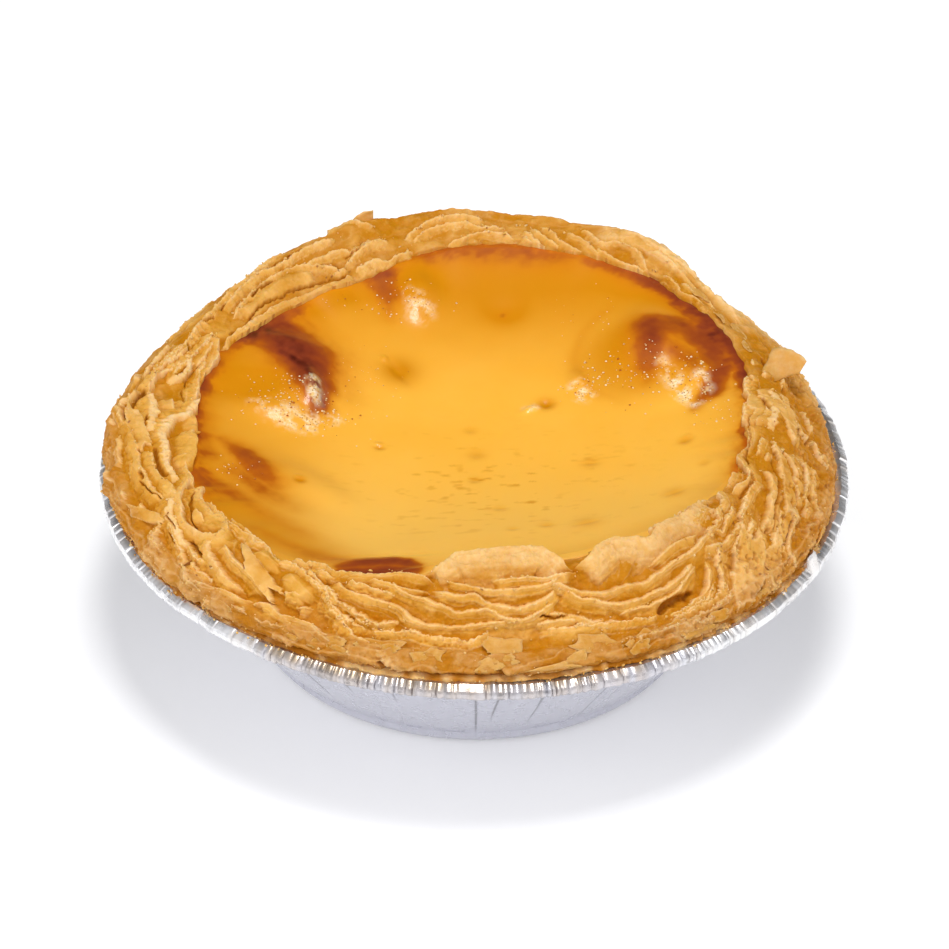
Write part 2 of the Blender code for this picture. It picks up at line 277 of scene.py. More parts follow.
# browned places of the skin, as soft strokes: x, y, half-width, strength
BURNS = (
    ((-28.4, 13.2, 2.0, 0.60), (-25.0, 15.2, 3.0, 0.68), (-21.4, 14.6, 3.7, 0.76), (-18.6, 11.4, 3.7, 0.80),
     (-17.4, 7.8, 2.6, 0.78), (-16.8, 4.8, 1.7, 0.62), (-17.2, 3.0, 1.1, 0.40)),
    ((-20.4, 11.2, 1.4, 0.86), (-18.4, 9.6, 1.2, 0.98), (-17.0, 7.0, 1.0, 0.95), (-16.2, 4.6, 0.7, 0.75)),
    ((-20.5, 18.0, 3.2, 0.30), (-15.6, 12.5, 3.4, 0.26), (-13.6, 7.5, 2.4, 0.14)),
    ((-28.8, 9.0, 1.9, 0.34), (-29.2, 2.5, 1.6, 0.32), (-28.8, -3.0, 1.8, 0.34), (-27.6, -6.5, 1.7, 0.28)),
    ((-26.2, -3.6, 1.4, 0.26), (-24.0, -5.6, 1.8, 0.48), (-22.6, -7.8, 2.1, 0.48), (-21.0, -10.2, 1.9, 0.34)),
    ((-24.8, -8.4, 2.2, 0.28), (-22.0, -11.4, 1.9, 0.36), (-18.7, -14.0, 1.7, 0.16)),
    ((-28.0, -10.2, 1.8, 0.30), (-25.0, -12.8, 1.8, 0.32), (-21.6, -16.0, 1.7, 0.22), (-17.0, -19.4, 1.5, 0.16)),
    ((-13.4, 27.4, 1.9, 0.44), (-10.6, 25.6, 2.3, 0.50), (-9.6, 22.8, 1.7, 0.40), (-9.4, 20.2, 1.2, 0.16)),
    ((-9.0, 28.8, 2.0, 0.30), (-2.0, 30.0, 2.7, 0.34), (5.0, 30.2, 2.9, 0.35), (10.0, 29.0, 2.2, 0.26)),
    ((11.0, 29.0, 1.3, 0.26), (16.5, 27.0, 1.9, 0.46), (21.4, 23.6, 2.4, 0.54), (25.4, 18.8, 2.9, 0.60),
     (28.2, 12.4, 3.0, 0.60), (29.4, 7.6, 2.2, 0.46), (29.6, 3.0, 1.4, 0.28)),
    ((24.6, 16.0, 2.2, 0.62), (25.8, 12.4, 2.0, 0.62)),
    ((26.2, 9.4, 1.7, 0.56), (24.8, 6.0, 1.3, 0.50), (23.2, 3.4, 0.9, 0.26)),
    ((18.4, 17.2, 1.6, 0.42), (21.8, 17.2, 2.0, 0.50), (24.6, 13.6, 2.1, 0.58), (26.0, 10.4, 1.9, 0.56)),
    ((20.6, 13.4, 2.2, 0.34), (22.6, 11.6, 2.2, 0.36), (23.8, 9.6, 1.8, 0.30)),
    ((2.8, 21.6, 0.55, 0.34), (2.7, 21.3, 0.50, 0.34)), ((3.0, 21.8, 1.5, 0.12), (2.5, 21.2, 1.5, 0.12)),
    ((22.0, 15.6, 2.2, 0.40), (18.8, 16.6, 2.5, 0.64), (18.8, 14.2, 2.3, 0.62), (18.4, 11.4, 1.9, 0.44), (18.4, 9.2, 1.3, 0.24)),
    ((28.6, -2.0, 1.4, 0.34), (28.8, -7.0, 1.3, 0.30), (26.8, -11.0, 1.0, 0.24)),
    ((-13.0, -27.2, 1.1, 0.48), (-11.4, -26.5, 1.4, 0.66), (-8.8, -26.4, 1.5, 0.70), (-6.8, -27.1, 1.2, 0.66),
     (-5.4, -28.0, 0.6, 0.50)),
    ((-12.6, -28.4, 1.3, 0.62), (-9.0, -28.6, 1.7, 0.72), (-6.0, -28.9, 1.1, 0.62)),
    ((-12.4, -30.2, 1.1, 0.56), (-9.0, -30.6, 1.2, 0.60), (-6.0, -30.6, 0.9, 0.50)),
    ((-22.0, -20.0, 1.0, 0.20), (-17.0, -23.6, 1.5, 0.27), (-13.0, -25.6, 1.7, 0.35)),
)
# foamy places, where fine bubbles broke at the skin, also painted paler as a highlight on the blisters' slopes: x, y,
# half-width, strength
FROTH_AND_HIGHLIGHT = (
    ((-23.2, 3.2, 1.0, 0.5), (-20.8, 2.0, 1.5, 0.85), (-18.0, 1.4, 1.4, 0.95), (-14.8, 3.0, 0.9, 0.7)),
    ((-17.2, 7.2, 0.8, 0.9), (-17.2, 4.8, 0.9, 1.0)),
    ((-7.2, 23.2, 1.0, 0.45), (-6.2, 21.2, 1.5, 0.9)),
    ((19.8, 11.4, 0.7, 0.8), (20.8, 9.2, 0.95, 1.0), (22.2, 6.2, 1.0, 1.0), (23.2, 4.6, 0.9, 0.9)),
    ((23.8, 8.4, 0.9, 0.85), (24.4, 6.4, 0.9, 0.8)),
    ((10.8, 9.8, 1.0, 0.8), (11.6, 8.4, 1.1, 0.9)),
    ((5.6, 6.3, 0.8, 0.7), (6.2, 6.8, 0.7, 0.6)),
)


def envelope(az):
    """Outline of the pastry above the lip at each azimuth, from the foot to the inner edge:
    radii and heights of shape (samples, len(az))."""
    rf, rs, rc, ri = (stations(t, az) for t in (FOOT_R, SHOULDER_R, CREST_R, INNER_R))
    zs, zc, zi = (stations(t, az) for t in (SHOULDER_Z, CREST_Z, INNER_Z))
    at, out, lift = np.array(OUTLINE).T
    out, lift = (sum(np.interp((np.asarray(az) + d) % 360, at, v) for d in (-3, 0, 3)) / 3 for v in (out, lift))
    rs, rc, zc = rs + out, rc + 0.5 * out, zc + lift
    zf = np.full_like(zs, FOOT_Z)
    rows_r, rows_z = [rf - 0.5], [np.full_like(zs, LIP_TOP + 0.2)]
    for k in range(0, 9):
        s = k / 8
        rows_r.append(rf + (rs - rf) * s + 0.5 * math.sin(math.pi * s))
        rows_z.append(zf + (zs - zf) * s)
    for k in range(1, 15):
        s = k / 14
        rows_r.append(rs + (rc - rs) * s)
        rows_z.append(zs + (zc - zs) * math.sin(s * math.pi / 2))
    for k in range(1, 9):
        s = k / 8
        rows_r.append(rc + (ri - rc) * s)
        rows_z.append(zc + (zi - zc) * s)
    return np.array(rows_r), np.array(rows_z)


# ============================================================ materials
def node(tree, kind, **values):
    n = tree.nodes.new(kind)
    for key, value in values.items():
        if key in n.inputs:
            n.inputs[key].default_value = value
        else:
            setattr(n, key, value)
    return n


def new_material(name):
    m = bpy.data.materials.new(name)
    m.use_nodes = True
    tree = m.node_tree
    shader = tree.nodes["Principled BSDF"]
    return m, tree, shader


def attribute(tree, name):
    n = tree.nodes.new("ShaderNodeAttribute")
    n.attribute_name = name
    return n.outputs["Fac"]


def colour_mix(tree, factor, a, b, blend="MIX"):
    n = tree.nodes.new("ShaderNodeMix")
    n.data_type = "RGBA"
    n.blend_type = blend
    n.clamp_factor = True
    for socket, value in ((n.inputs[0], factor), (n.inputs[6], a), (n.inputs[7], b)):
        if isinstance(value, bpy.types.NodeSocket):
            tree.links.new(value, socket)
        elif isinstance(value, (int, float)):
            socket.default_value = value
        else:
            socket.default_value = (*value, 1.0)
    return n.outputs[2]


def math_node(tree, op, a, b=None, clamp=False):
    n = tree.nodes.new("ShaderNodeMath")
    n.operation = op
    n.use_clamp = clamp
    for socket, value in zip(n.inputs, (a, b)):
        if isinstance(value, bpy.types.NodeSocket):
            tree.links.new(value, socket)
        elif value is not None:
            socket.default_value = value
    return n.outputs[0]


def map_range(tree, value, a, b, c=0.0, d=1.0):
    n = tree.nodes.new("ShaderNodeMapRange")
    n.clamp = True
    tree.links.new(value, n.inputs[0])
    for socket, v in zip(list(n.inputs)[1:5], (a, b, c, d)):
        socket.default_value = v
    return n.outputs[0]


def noise_node(tree, scale, detail=3.0, rough=0.55, stretch=None):
    """Noise over the object's own coordinates, scale in bumps per metre."""
    coords = tree.nodes.new("ShaderNodeTexCoord").outputs["Object"]
    if stretch:
        mapping = tree.nodes.new("ShaderNodeMapping")
        mapping.inputs["Scale"].default_value = stretch
        tree.links.new(coords, mapping.inputs["Vector"])
        coords = mapping.outputs[0]
    n = tree.nodes.new("ShaderNodeTexNoise")
    n.inputs["Scale"].default_value = scale
    n.inputs["Detail"].default_value = detail
    n.inputs["Roughness"].default_value = rough
    tree.links.new(coords, n.inputs["Vector"])
    return n.outputs["Fac"]


def bump(tree, height, strength, distance, shader, previous=None):
    n = tree.nodes.new("ShaderNodeBump")
    n.inputs["Strength"].default_value = strength
    n.inputs["Distance"].default_value = distance
    tree.links.new(height, n.inputs["Height"])
    if previous is not None:
        tree.links.new(previous, n.inputs["Normal"])
    tree.links.new(n.outputs[0], shader.inputs["Normal"])
    return n.outputs[0]


def pastry_material():
    m, tree, s = new_material("pastry_layers")
    edge, amber_and_shade, brown_and_shade = (attribute(tree, a) for a in ("edge", "amber_and_shade", "brown_and_shade"))
    broad = noise_node(tree, 330.0, 4.0)
    fine = noise_node(tree, 1300.0, 5.0, 0.62)
    face = colour_mix(tree, map_range(tree, broad, 0.38, 0.64), (0.70, 0.335, 0.040), (0.78, 0.410, 0.072))
    # deeper amber: the pastry's own amber, with painted shade and painted glow in gaps, hollows and faces away from
    # the edges
    col = colour_mix(tree, amber_and_shade, face, (0.53, 0.200, 0.0015))
    speck = map_range(tree, fine, 0.52, 0.68, 0.0, 0.22)
    col = colour_mix(tree, speck, col, (0.84, 0.480, 0.130))
    pale = colour_mix(tree, map_range(tree, fine, 0.35, 0.65), (0.83, 0.495, 0.172), (0.88, 0.620, 0.310))
    col = colour_mix(tree, edge, col, pale)
    # brown: real browning, with painted shade in the lowest gaps, the crevices and at the foot
    col = colour_mix(tree, brown_and_shade, col, (0.30, 0.075, 0.006))
    tree.links.new(col, s.inputs["Base Color"])
    s.inputs["Roughness"].default_value = 0.60
    s.inputs["Subsurface Weight"].default_value = 0.22
    s.inputs["Subsurface Radius"].default_value = (1.0, 0.55, 0.12)
    s.inputs["Subsurface Scale"].default_value = 0.0007
    s.inputs["Specular IOR Level"].default_value = 0.13
    b = bump(tree, fine, 0.65, 0.00018, s)
    bump(tree, noise_node(tree, 4200.0, 2.0), 0.55, 0.00007, s, b)
    return m


def custard_material():
    m, tree, s = new_material("custard_skin")
    burn, amber, froth_and_highlight, front_painted_light = (attribute(tree, a) for a in ("burn", "amber", "froth_and_highlight", "front_painted_light"))
    cloud = noise_node(tree, 130.0, 3.0)
    base = colour_mix(tree, map_range(tree, cloud, 0.3, 0.7), (0.98, 0.475, 0.046), (1.0, 0.505, 0.060))
    # painted light: the custard's base colour is made paler towards the front
    base = colour_mix(tree, front_painted_light, base, (1.0, 0.560, 0.100))
    col = colour_mix(tree, amber, base, (0.66, 0.245, 0.0022))
    ramp_node = tree.nodes.new("ShaderNodeValToRGB")
    tree.links.new(burn, ramp_node.inputs[0])
    e = ramp_node.color_ramp.elements
    e[0].position, e[0].color = 0.0, (0.72, 0.255, 0.003, 1)
    e[1].position, e[1].color = 1.0, (0.080, 0.0090, 0.0025, 1)
    for pos, c in ((0.20, (0.66, 0.210, 0.003)), (0.38, (0.48, 0.117, 0.005)), (0.56, (0.33, 0.062, 0.010)),
                   (0.74, (0.235, 0.038, 0.012)), (0.88, (0.15, 0.021, 0.008))):
        el = e.new(pos)
        el.color = (*c, 1)
    col = colour_mix(tree, map_range(tree, burn, 0.0, 0.36), col, ramp_node.outputs[0])
    # foam colour: paler foam together with a painted highlight on the blisters' slopes
    foam_and_highlight = colour_mix(tree, map_range(tree, noise_node(tree, 2600.0, 3.0), 0.42, 0.58), (0.94, 0.62, 0.24), (0.99, 0.86, 0.60))
    col = colour_mix(tree, map_range(tree, froth_and_highlight, 0.05, 0.66, 0.0, 0.86), col, foam_and_highlight)
    # painted shade: small dark spots in the foamy places stand for the shade inside tiny pits
    holes = tree.nodes.new("ShaderNodeTexVoronoi")
    holes.inputs["Scale"].default_value = 2900.0
    tree.links.new(tree.nodes.new("ShaderNodeTexCoord").outputs["Object"], holes.inputs["Vector"])
    dark = math_node(tree, "MULTIPLY", map_range(tree, holes.outputs["Distance"], 0.18, 0.38, 1.0, 0.0),
                     map_range(tree, froth_and_highlight, 0.12, 0.5, 0.0, 0.85))
    col = colour_mix(tree, dark, col, (0.46, 0.17, 0.020))
    tree.links.new(col, s.inputs["Base Color"])
    rough = map_range(tree, froth_and_highlight, 0.0, 0.6, 0.32, 0.45)
    tree.links.new(rough, s.inputs["Roughness"])
    s.inputs["Subsurface Weight"].default_value = 0.15
    s.inputs["Subsurface Radius"].default_value = (1.0, 0.5, 0.1)
    s.inputs["Subsurface Scale"].default_value = 0.0016
    s.inputs["Specular IOR Level"].default_value = 0.20
    tree.links.new(map_range(tree, froth_and_highlight, 0.10, 0.50, 0.36, 0.05), s.inputs["Coat Weight"])
    s.inputs["Coat Roughness"].default_value = 0.10
    skin = bump(tree, noise_node(tree, 1600.0, 3.0), 0.06, 0.00006, s)
    # burst bubbles: small pits, only in the foamy places
    cells = tree.nodes.new("ShaderNodeTexVoronoi")
    cells.inputs["Scale"].default_value = 3600.0
    tree.links.new(tree.nodes.new("ShaderNodeTexCoord").outputs["Object"], cells.inputs["Vector"])
    pits = math_node(tree, "MULTIPLY", map_range(tree, cells.outputs["Distance"], 0.1, 0.5), froth_and_highlight)
    bump(tree, pits, 0.55, 0.00006, s, skin)
    return m


def foil_material():
    m, tree, s = new_material("foil")
    n = noise_node(tree, 700.0, 3.0)
    col = colour_mix(tree, map_range(tree, n, 0.3, 0.7), (0.62, 0.62, 0.685), (0.68, 0.68, 0.74))
    # painted light on the foil: the lip is made paler at the sides, then tinted with a painted crust reflection and
    # darkened with painted shade
    col = colour_mix(tree, attribute(tree, "painted_shine"), col, (0.97, 0.97, 0.98))
    col = colour_mix(tree, attribute(tree, "crust_reflection_paint"), col, (0.52, 0.37, 0.20))
    col = colour_mix(tree, attribute(tree, "shade"), col, (0.17, 0.165, 0.175))
    tree.links.new(col, s.inputs["Base Color"])
    s.inputs["Metallic"].default_value = 0.85
    rough = map_range(tree, n, 0.3, 0.7, 0.25, 0.32)
    tree.links.new(rough, s.inputs["Roughness"])
    bump(tree, noise_node(tree, 1100.0, 2.0), 0.06, 0.00003, s)
    return m


PASTRY, CUSTARD, FOIL = pastry_material(), custard_material(), foil_material()


# ============================================================ foil cup
# creases pressed into the wall: azimuth at the top, share of the wall where it starts and ends, width in
# degrees, depth in mm, lean in degrees
WALL_CREASES = (
    (256.0, 0.55, 1.10, 0.45, 0.16, 0.6), (270.7, 0.05, 0.85, 0.40, 0.18, -0.8), (275.6, 0.30, 1.05, 0.40, 0.14, 1.6),
    (282.4, 0.45, 1.10, 0.50, 0.20, -2.2), (284.0, 0.20, 0.80, 0.35, 0.10, 1.0), (296.0, 0.10, 1.05, 0.45, 0.20, -1.5),
    (302.6, 0.35, 1.15, 0.55, 0.42, 2.6), (263.2, 0.65, 1.10, 0.40, 0.12, 1.0), (246.0, 0.50, 1.10, 0.50, 0.14, -1.0),
    (238.0, 0.20, 0.90, 0.40, 0.10, 1.2), (309.0, 0.50, 1.10, 0.50, 0.16, 1.0), (289.5, 0.60, 1.10, 0.35, 0.12, 0.6),
)


def build_foil():
    cols = 1680
    # columns closer together in front
    fine = np.arange(3600) / 10.0
    grow = np.concatenate([[0], np.cumsum(0.8 + 1.2 * arc(fine, 270, 84, 12))])
    az = np.interp((np.arange(cols) + 0.5) / cols * grow[-1], grow, np.arange(3601) / 10.0)
    thick = 0.10
    # outline of the skin's outer side: base, fillet, wall, flange, curl
    outer = [(0.0, 0.0), (20.0, 0.0), (22.7, 0.0)]
    outer += [(22.7 + 1.2 * math.sin(k / 3 * math.pi / 2), BASE_FILLET * (1 - math.cos(k / 3 * math.pi / 2)))
              for k in range(1, 4)]
    n_wall = 12
    for k in range(1, n_wall + 1):
        s = k / n_wall
        outer.append((BASE_R + (WALL_TOP_R - BASE_R) * s, BASE_FILLET + (WALL_TOP_Z - BASE_FILLET) * s))
    curl = LIP_CURL / 2
    cx, cz = LIP_R - curl, LIP_TOP - curl
    flange = [(WALL_TOP_R + 0.55, LIP_TOP - 0.55), (WALL_TOP_R + 1.15, LIP_TOP - 0.15)]
    turns = np.radians(np.linspace(90, -150, 13))
    # the curl's top is pressed to a flat band that leans outward
    press = [1 - 0.9 * max(0.0, 1 - math.cos(math.radians(31)) / math.cos(t - math.radians(57)))
             if abs(t - math.radians(57)) < math.radians(31) else 1.0 for t in turns]
    top = [(cx + curl * f * math.cos(t), cz + curl * f * math.sin(t)) for t, f in zip(turns, press)]
    under = [(cx + (curl * f - thick) * math.cos(t), cz + (curl * f - thick) * math.sin(t))
             for t, f in list(zip(turns, press))[::-2]]
    lower = outer + [(WALL_TOP_R + 0.60, LIP_TOP - 0.62), (WALL_TOP_R + 1.2, LIP_TOP - 0.15 - thick)]
    lower = lower + under[::-1]
    inner_wall = [outer[i] for i in (3, 4, 5, 8, 12, 17)]
    upper = [(r, thick) for r, z in outer[:3]] + [(r - thick * 0.8, z + thick * 0.6) for r, z in inner_wall]
    upper = upper + flange + top
    profile = np.array(lower + upper[::-1])
    rows = len(profile)
    r = np.repeat(profile[:, 0][:, None], cols, 1)
    z = np.repeat(profile[:, 1][:, None], cols, 1)
    share = np.clip((z - BASE_FILLET) / (WALL_TOP_Z - BASE_FILLET), 0, 1)
    on_lip = ramp(r, 37.2, 38.2)
    on_wall = ramp(z, 0.3, 1.4) * (1 - on_lip)
    # soft dents and creases of the wall
    dent = 0.12 * ring_noise(20, 1)(az) + 0.03 * ring_noise(52, 2)(az)
    r += on_wall * dent[None, :] * (0.4 + 0.6 * share)
    rng = np.random.default_rng(11)
    shade = np.zeros_like(r)
    creases = list(WALL_CREASES)
    for k in range(26):
        centre = rng.uniform(-45, 225)
        creases.append((centre, rng.uniform(-0.2, 0.6), rng.uniform(0.8, 1.2), rng.uniform(0.35, 0.6),
                        rng.uniform(0.04, 0.20), rng.uniform(-2.5, 2.5)))
    for centre, z0, z1, wide, depth, lean in creases:
        d = turn(az[None, :] + lean * (1 - share), centre) / wide
        span = ramp(share, z0 - 0.1, z0 + 0.15) * (1 - ramp(share, z1 - 0.1, z1 + 0.05))
        # one side of a crease drops sharply, the other swells back gently
        fold = np.where(d < 0, np.exp(-np.abs(d) ** 1.3 * 1.6), np.exp(-np.abs(d) ** 1.1 * 0.45))
        r -= on_wall * depth * fold * span
        # painted shade along each crease line
        mark = np.exp(-(((d * wide) / 0.20) ** 2)) * span * on_wall * min(1.0, 0.30 + 4.5 * depth)
        shade = np.maximum(shade, mark)
    # the curled lip: flat facets of different tilt between narrow creases
    pos, facet_r, facet_z, notch = 0.0, np.zeros(cols), np.zeros(cols), np.zeros(cols)
    facet_shade = np.zeros(cols)
    while pos < 360:
        where = pos % 360
        dense = (where > 238 and where < 268) or (270 < where < 288) or (300 < where < 312)
        step = rng.uniform(0.45, 1.2) if dense else rng.choice([rng.uniform(0.9, 2.0), rng.uniform(2.0, 4.4)])
        step = min(step, 360.0 - pos) if 360.0 - pos > 0.5 else 360.0 - pos
        inside = (az >= pos) & (az < pos + step)
        u = (az - pos) / step - 0.5
        tilt, lift = rng.uniform(-0.075, 0.075) * min(step, 1.8), rng.uniform(-0.05, 0.05)
        facet_r += inside * (tilt * u * 2 + lift)
        facet_z += inside * (rng.uniform(-0.05, 0.05) * u * 2 + rng.uniform(-0.04, 0.04))
        d = turn(az, pos) / rng.uniform(0.10, 0.20)
        notch = np.maximum(notch, rng.uniform(0.04, 0.22) * np.exp(-np.abs(d) ** 1.5))
        facet_shade += inside * (rng.uniform(0.12, 0.62) if rng.random() < (0.62 if 244 < where < 300 else 0.40) else -0.40)
        pos += step
        if pos >= 359.999:
            break
    around_curl = np.clip((LIP_TOP - z) / LIP_CURL, 0, 1)
    r += on_lip * (facet_r[None] * (0.5 + 0.8 * around_curl) - notch[None])
    z += on_lip * (facet_z[None] - 0.45 * notch[None]) * (1 - around_curl)
    z += on_lip * (0.12 * ring_noise(14, 5)(az) + 0.05 * ring_noise(70, 6)(az))[None, :]
    r += on_lip * (0.10 * ring_noise(18, 7)(az) + 0.05 * ring_noise(90, 8)(az))[None, :]
    r += on_lip * 0.035 * ring_noise(760, 28)(az)[None]
    # one facet is bent up over the crust
    flap = arc(az, 333.0, 1.2, 0.35)
    z += 1.25 * flap[None] * ramp(r, 38.2, 38.5) * ramp(r, 39.5, 38.9) * ramp(z, LIP_TOP - 0.9, LIP_TOP - 0.4)
    r = np.minimum(r, LIP_R + 0.02)
    # painted shade and reflection: each lip facet and notch is given its own darkness
    facet_shade = facet_shade * (1 - flap) - 0.4 * flap
    facet_shade = np.clip(facet_shade + 0.36 * ring_noise(900, 26)(az) + 0.16 * ring_noise(300, 36)(az), 0, 0.8)
    facet_shade = facet_shade * (0.62 + 0.38 * arc(az, 270, 26, 14))
    shade = np.clip(shade + on_lip * np.maximum(facet_shade[None] * (0.55 + 0.45 * np.sin(z * 9.0 + 7 * ring_noise(40, 27)(az))), 2.2 * notch[None]), 0, 0.9)
    # painted reflection: the band next to the crust is tinted warm as if mirroring the crust
    in_front = arc(az, 270, 26, 14)
    crust_reflection_paint = 0.10 + 0.50 * in_front + (0.5 + 0.5 * in_front) * (0.34 * ring_noise(420, 41)(az) + 0.28 * ring_noise(60, 42)(az))
    crust_reflection_paint = on_lip * np.clip(crust_reflection_paint, 0, 0.85)[None]
    crust_reflection_paint = crust_reflection_paint * (0.45 + 0.55 * ramp(z, LIP_TOP - 0.6, LIP_TOP - 0.1))
    # rings at the axis collapse to small discs, closed by fans
    inner = profile[:, 0] < 1e-6
    r[inner] = 0.4
    verts = polar(r, az[None, :], z).reshape(-1, 3)
    quads = grid_quads(rows, cols)
    first, last = 0, (rows - 1) * cols
    centre = len(verts)
    verts = np.vstack([verts, [[0, 0, 0], [0, 0, thick * MM]]])
    c = np.arange(cols)
    tris = np.vstack([
        np.stack([(c + 1) % cols + first, c + first, np.full(cols, centre)], -1),
        np.stack([c + last, (c + 1) % cols + last, np.full(cols, centre + 1)], -1),
    ])
    obj = make_piece("foil_cup_skin", verts, quads, FOIL, {"shade": np.concatenate([shade.ravel(), [0, 0]]), "crust_reflection_paint": np.concatenate([crust_reflection_paint.ravel(), [0, 0]]),
                      "painted_shine": np.concatenate([(on_lip * (1 - in_front)[None]).ravel(), [0, 0]])}, tris=tris,
                     sharp=24)
    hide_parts("foil_cup")
    return obj


# ============================================================ custard
def skin_marks(x, y, share):
    """How browned, how amber and how foamy the skin is at each spot; the amber holds painted shade in the hollows and
    the foam a painted highlight.
    """
    p = np.stack([x.ravel(), y.ravel(), np.zeros(x.size)], -1)
    wx = fractal(p / 2.6, 3, 501).reshape(x.shape)
    wy = fractal(p / 2.6, 3, 502).reshape(x.shape)
    fine = fractal(p / 0.7, 3, 503).reshape(x.shape)
    az = np.degrees(np.arctan2(y, x))
    # streaks drawn out from the rim
    streak = 0.5 * ring_noise(210, 504)(az) + 0.35 * ring_noise(90, 505)(az) + 0.3 * ring_noise(420, 506)(az)
    near_rim = ramp(share, 0.80, 1.0)
    sx, sy = x + 0.24 * wx, y + 0.24 * wy
    burn = np.zeros_like(x)
    for points in BURNS:
        burn = np.maximum(burn, stroke(sx, sy, points))
    sides = np.clip(np.maximum(arc(az, 178, 38, 10), arc(az, 352, 26, 10)), 0, 1)
    burn = burn * (1 + (0.10 * fine + 0.24 * streak * near_rim * (0.35 + 0.65 * sides)))
    burn = burn + 0.10 * near_rim * sides * np.clip(streak, 0, 1)
    front = arc(az % 360, 275, 55, 15)
    burn = burn + 0.18 * ramp(share + 0.02 * fine, 0.945, 1.0) * (1 - front) * (1 - 0.6 * arc(az, 92, 32, 12))
    amber = (1.15 * ramp(sy, 7, 30) + 0.60 * ramp(-sx, 10, 29) + 0.30 * ramp(sx, 21, 31)
             + 0.25 * ramp(share, 0.86, 1.0))
    # each blister's thin front slope lets the amber through
    amber = amber + 0.75 * np.exp(-(((sx + 22.6) / 4.6) ** 2 + ((sy - 6.4) / 3.4) ** 2))
    amber = amber + 0.75 * np.exp(-((((sx - 17.5) / 7.0) ** 2 + ((sy - 12.4) / 6.0) ** 2) ** 2))
    amber = amber + 0.20 * np.exp(-(((sx + 22.0) / 8.0) ** 2 + ((sy + 11.0) / 9.0) ** 2))
    amber = amber + stroke(sx, sy, ((-22.8, -15.6, 2.4, 0.22), (-19.0, -19.8, 3.0, 0.46), (-15.6, -22.8, 3.0, 0.55), (-11.6, -24.6, 2.2, 0.30)))
    # the flat blister's own outline
    ring = np.hypot((sx - 20.6) / 9.9, (sy - 14.6) / 9.0)
    outline = np.exp(-(((ring - 1.0) / 0.075) ** 2)) * ramp(-sx, -17.5, -12.5) * ramp(sy, 4.0, 8.0)
    burn = burn + 0.12 * outline
    # painted shade: hollows and pits are tinted darker amber
    for bx, by, wa, wb, angle, height, flat in PITS:
        d = np.exp(-(((x - bx) ** 2 + (y - by) ** 2) / (max(wa, wb) * 1.25) ** 2))
        if height < 0:
            amber = amber + 1.1 * d * min(1.0, -height * 3.2)
    flecks = np.clip(fractal(p / 0.9 * np.array([0.6, 1.4, 1.0]), 2, 507).reshape(x.shape) - 0.62, 0, 1)
    amber = amber + 1.2 * flecks * np.exp(-(((x - 3) / 14) ** 2 + ((y + 9) / 9) ** 2))
    froth_and_highlight = np.zeros_like(x)
    for points in FROTH_AND_HIGHLIGHT:
        froth_and_highlight = np.maximum(froth_and_highlight, stroke(x, y, points))
    froth_and_highlight = froth_and_highlight * 0.68 * ramp(fine, -0.8, 0.5)
    return np.clip(burn, 0, 1.05), np.clip(amber, 0, 1), np.clip(froth_and_highlight, 0, 1)


def build_custard():
    rings, cols = 150, 480
    az = np.arange(cols) * 360.0 / cols
    rim = stations(INNER_R, az)
    share = (np.arange(1, rings + 1) / rings) ** 0.82
    reach = 1.03 + 0.03 * arc(az, 251, 8, 4)[None, :]
    r = share[:, None] * rim[None, :] * reach
    x, y = r * np.cos(np.radians(az)), r * np.sin(np.radians(az))
    z, s = custard_surface(x, y)
    burn, amber, froth_and_highlight = skin_marks(x, y, s)
    verts = polar(r, az[None, :], z).reshape(-1, 3)
    quads = grid_quads(rings, cols)
    # body below: rim drops to a hidden floor
    low = verts[-cols:].copy()
    low[:, :2] *= 0.97
    low[:, 2] = 16 * MM
    base = len(verts)
    verts = np.vstack([verts, low])
    c = np.arange(cols)
    quads = np.vstack([quads, np.stack([base - cols + c, base - cols + (c + 1) % cols,
                                        base + (c + 1) % cols, base + c], -1)])
    z0, _ = custard_surface(np.array([0.0]), np.array([0.0]))
    top, bottom = len(verts), len(verts) + 1
    verts = np.vstack([verts, [[0, 0, z0[0] * MM], [0, 0, 16 * MM]]])
    tris = np.vstack([
        np.stack([np.full(cols, top), (c + 1) % cols, c], -1),
        np.stack([base + c, base + (c + 1) % cols, np.full(cols, bottom)], -1),
    ])
    pad = np.zeros(cols + 2)
    # painted light: share of the paler base colour, rising towards the front
    front_painted_light = ramp(-y, -2.0, 21.0)
    attrs = {k: np.concatenate([v.ravel(), pad])
             for k, v in (("burn", burn), ("amber", amber), ("froth_and_highlight", froth_and_highlight), ("front_painted_light", front_painted_light))}
    obj = make_piece("custard_top", verts, quads, CUSTARD, attrs, tris)
    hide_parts("custard")
    return obj


def dome_template(rings=3, segs=8):
    """A small closed bubble: upper half round, lower half flat; unit radius."""
    pts, faces = [(0, 0, 1.0)], []
    for i in range(1, rings + 1):
        t = math.pi / 2 * i / rings
        for j in range(segs):
            a = TAU * j / segs
            pts.append((math.sin(t) * math.cos(a), math.sin(t) * math.sin(a), math.cos(t)))
    pts.append((0, 0, -0.3))
    for j in range(segs):
        faces.append((0, 1 + j, 1 + (j + 1) % segs))
    for i in range(rings - 1):
        for j in range(segs):
            a, b = 1 + i * segs + j, 1 + i * segs + (j + 1) % segs
            faces += [(a, a + segs, b + segs), (a, b + segs, b)]
    last = 1 + (rings - 1) * segs
    for j in range(segs):
        faces.append((last + (j + 1) % segs, last + j, len(pts) - 1))
    return np.array(pts), np.array(faces)


